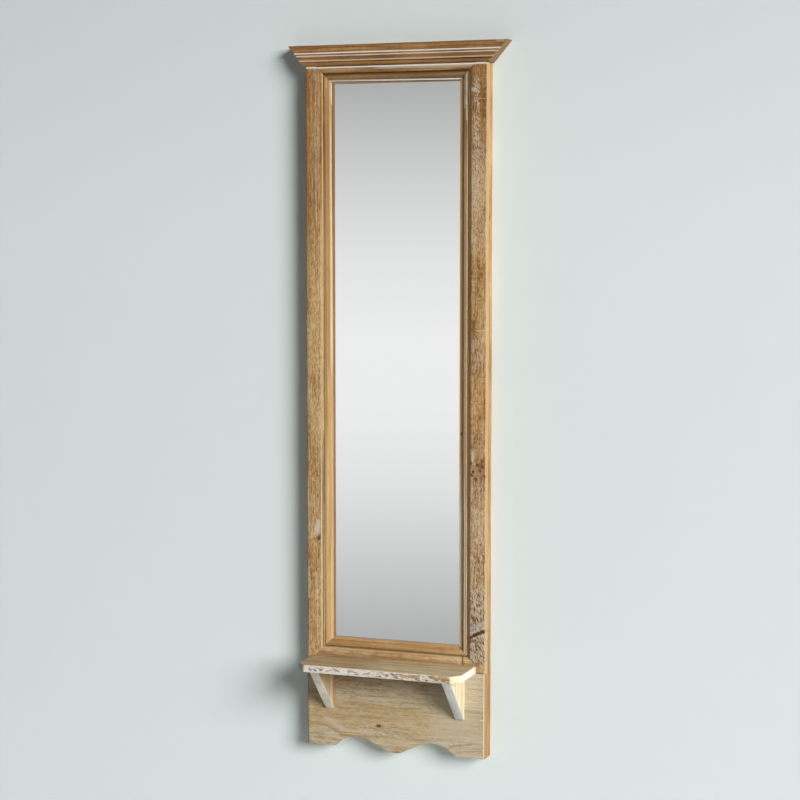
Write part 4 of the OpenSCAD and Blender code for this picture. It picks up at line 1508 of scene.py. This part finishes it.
class MIRROR_OT_stage(Operator):
    """Make the wall, the floor, the light and the camera"""

    bl_idname = "wall_mirror.stage"
    bl_label = "Stage"

    def execute(self, context):
        scene, stage = context.scene, context.scene.mirror_stage
        scene.view_settings.view_transform = "Standard"
        self.sheet("wall", WALL_W, (0, WALL_GAP, -0.2), math.pi / 2, stage.wall, top_share=0.92)
        self.sheet("floor", FLOOR_W, (0, 0, FLOOR_Z), 0, stage.floor, top_share=1.0)
        for name, place, size, power in (
            ("key_lamp", (13.5, -10.0, 5.2), 8.4, stage.key_power),
            ("back_lamp", (-0.4, 4.0, 1.2), 2.4, stage.back_power),
            ("left_lamp", (-5.5, 1.6, 0.6), 2.4, stage.left_power),
        ):
            self.lamp(name, Vector(place), size, power)
        self.world(scene, stage)
        self.camera(scene, stage)
        return {"FINISHED"}

    def sheet(self, name, size, place, tilt, colour, top_share):
        """A large flat surface, seen only from its front, with painted shade that darkens it far out
        and towards its top.
        """
        material, s, principled = new_material(name + "_paint")
        bm = bmesh.new()
        bmesh.ops.create_grid(bm, x_segments=1, y_segments=1, size=size / 2)
        turn = Matrix.Translation(place) @ Matrix.Rotation(tilt, 4, "X")
        bmesh.ops.transform(bm, matrix=turn, verts=bm.verts[:])
        piece = new_object(name, bm, material)
        piece.visible_glossy = False
        mm = s.object_mm()
        stipple = s.noise(s.vector("SCALE", mm, 0.02), 3.0)
        tint = s.mix(s.times(stipple, 0.03), colour, [v * 0.8 for v in colour])
        # Painted shade: darker towards the top and far from the mirror, where light falls off
        upward = s.smooth(s.split(mm)[2], -250, 250, 1.0, top_share)
        away = s.vector("LENGTH", s.vector("MULTIPLY", mm, (1, 1, 0)))
        painted_shade = s.times(upward, s.smooth(away, 1000, 5000, 1.0, 0.55))
        base = s.mix(1.0, tint, s.grey(painted_shade), "MULTIPLY")
        s.fill(principled, {"Base Color": base, "Roughness": 0.9, "Specular IOR Level": 0.1})
        clear = s.add("BsdfTransparent").outputs[0]
        behind = s.add("NewGeometry").outputs["Backfacing"]
        shadow = s.add("LightPath").outputs["Is Shadow Ray"]
        hidden = s.math("MAXIMUM", behind, shadow)
        show = s.add("MixShader", {0: hidden, 1: principled.outputs[0], 2: clear})
        s.put(material.node_tree.nodes["Material Output"].inputs["Surface"], show.outputs[0])

    def lamp(self, name, offset, size, power):
        """A large soft round lamp, at an offset from the mirror's middle, that faces it."""
        light = bpy.data.lights.new(name, "AREA")
        light.shape = "DISK"
        light.size = size
        light.energy = power
        lamp = bpy.data.objects.new(name, light)
        lamp.location = MIRROR_MIDDLE + offset
        lamp.rotation_mode = "QUATERNION"
        lamp.rotation_quaternion = (-offset).to_track_quat("-Z", "Y")
        lamp.visible_glossy = False
        lamp.visible_camera = False
        bpy.context.scene.collection.objects.link(lamp)

    def world(self, scene, stage):
        """Even light from all round; metal sees a soft band of light near eye level."""
        world = bpy.data.worlds.new("studio")
        scene.world = world
        world.use_nodes = True
        s = Shader(world.node_tree)
        background = world.node_tree.nodes["Background"]
        up = s.split(s.add("TexCoord").outputs["Generated"])[2]
        # How far up a look goes, where 0.5 is level, and the grey that metal and glass see there
        steps = (
            (0.24, 0.34), (0.30, 0.48), (0.334, 0.65), (0.373, 0.83), (0.41, 0.92), (0.445, 0.925),
            (0.482, 0.85), (0.521, 0.70), (0.548, 0.57), (0.57, 0.46), (0.64, 0.36),
        )
        band = s.ramp(s.plus(up, 0.5), *((place, (grey,) * 3) for place, grey in steps))
        path = s.add("LightPath").outputs
        glossy = s.mix(path["Is Glossy Ray"], (stage.fill,) * 3, band)
        s.put(background.inputs["Color"], s.mix(path["Is Camera Ray"], glossy, stage.floor))

    def camera(self, scene, stage):
        """A camera at the photograph's angle."""
        lens = bpy.data.cameras.new("camera")
        lens.lens = stage.lens
        lens.sensor_width = SENSOR_W
        camera = bpy.data.objects.new("camera", lens)
        camera.location = CAMERA_PLACE
        camera.rotation_euler = (math.radians(90 - CAMERA_DROP), 0, math.radians(CAMERA_TURN))
        scene.collection.objects.link(camera)
        scene.camera = camera


class MIRROR_PT_sidebar(Panel):
    """Sizes and colours of the wall mirror"""

    bl_idname = "MIRROR_PT_sidebar"
    bl_label = "Wall mirror"
    bl_space_type = "VIEW_3D"
    bl_region_type = "UI"
    bl_category = "Wall mirror"

    def draw(self, context):
        for _, pointer in SETTINGS:
            box = self.layout.box()
            settings = getattr(context.scene, pointer)
            for name in settings.__annotations__:
                box.prop(settings, name)
        for step in STEPS:
            self.layout.operator(step.bl_idname)


SETTINGS = (
    (MirrorBoardSizes, "mirror_boards"),
    (MirrorCrownSizes, "mirror_crown"),
    (MirrorShelfSizes, "mirror_shelf"),
    (MirrorColours, "mirror_colours"),
    (MirrorStageSettings, "mirror_stage"),
)
STEPS = (
    MIRROR_OT_shared_patterns,
    MIRROR_OT_stage,
    MIRROR_OT_crown,
    MIRROR_OT_face_boards,
    MIRROR_OT_inner_mouldings,
    MIRROR_OT_apron,
    MIRROR_OT_shelf,
    MIRROR_OT_brackets,
    MIRROR_OT_back_frame,
    MIRROR_OT_glass,
    MIRROR_OT_hardware,
)


def register():
    for settings, pointer in SETTINGS:
        bpy.utils.register_class(settings)
        setattr(bpy.types.Scene, pointer, PointerProperty(type=settings))
    for cls in STEPS + (MIRROR_PT_sidebar,):
        bpy.utils.register_class(cls)


def unregister():
    for cls in reversed(STEPS + (MIRROR_PT_sidebar,)):
        bpy.utils.unregister_class(cls)
    for settings, pointer in reversed(SETTINGS):
        delattr(bpy.types.Scene, pointer)
        bpy.utils.unregister_class(settings)


def main():
    """Makes everything in order."""
    register()
    for step in STEPS:
        family, name = step.bl_idname.split(".")
        getattr(getattr(bpy.ops, family), name)()


if __name__ == "__main__":
    main()
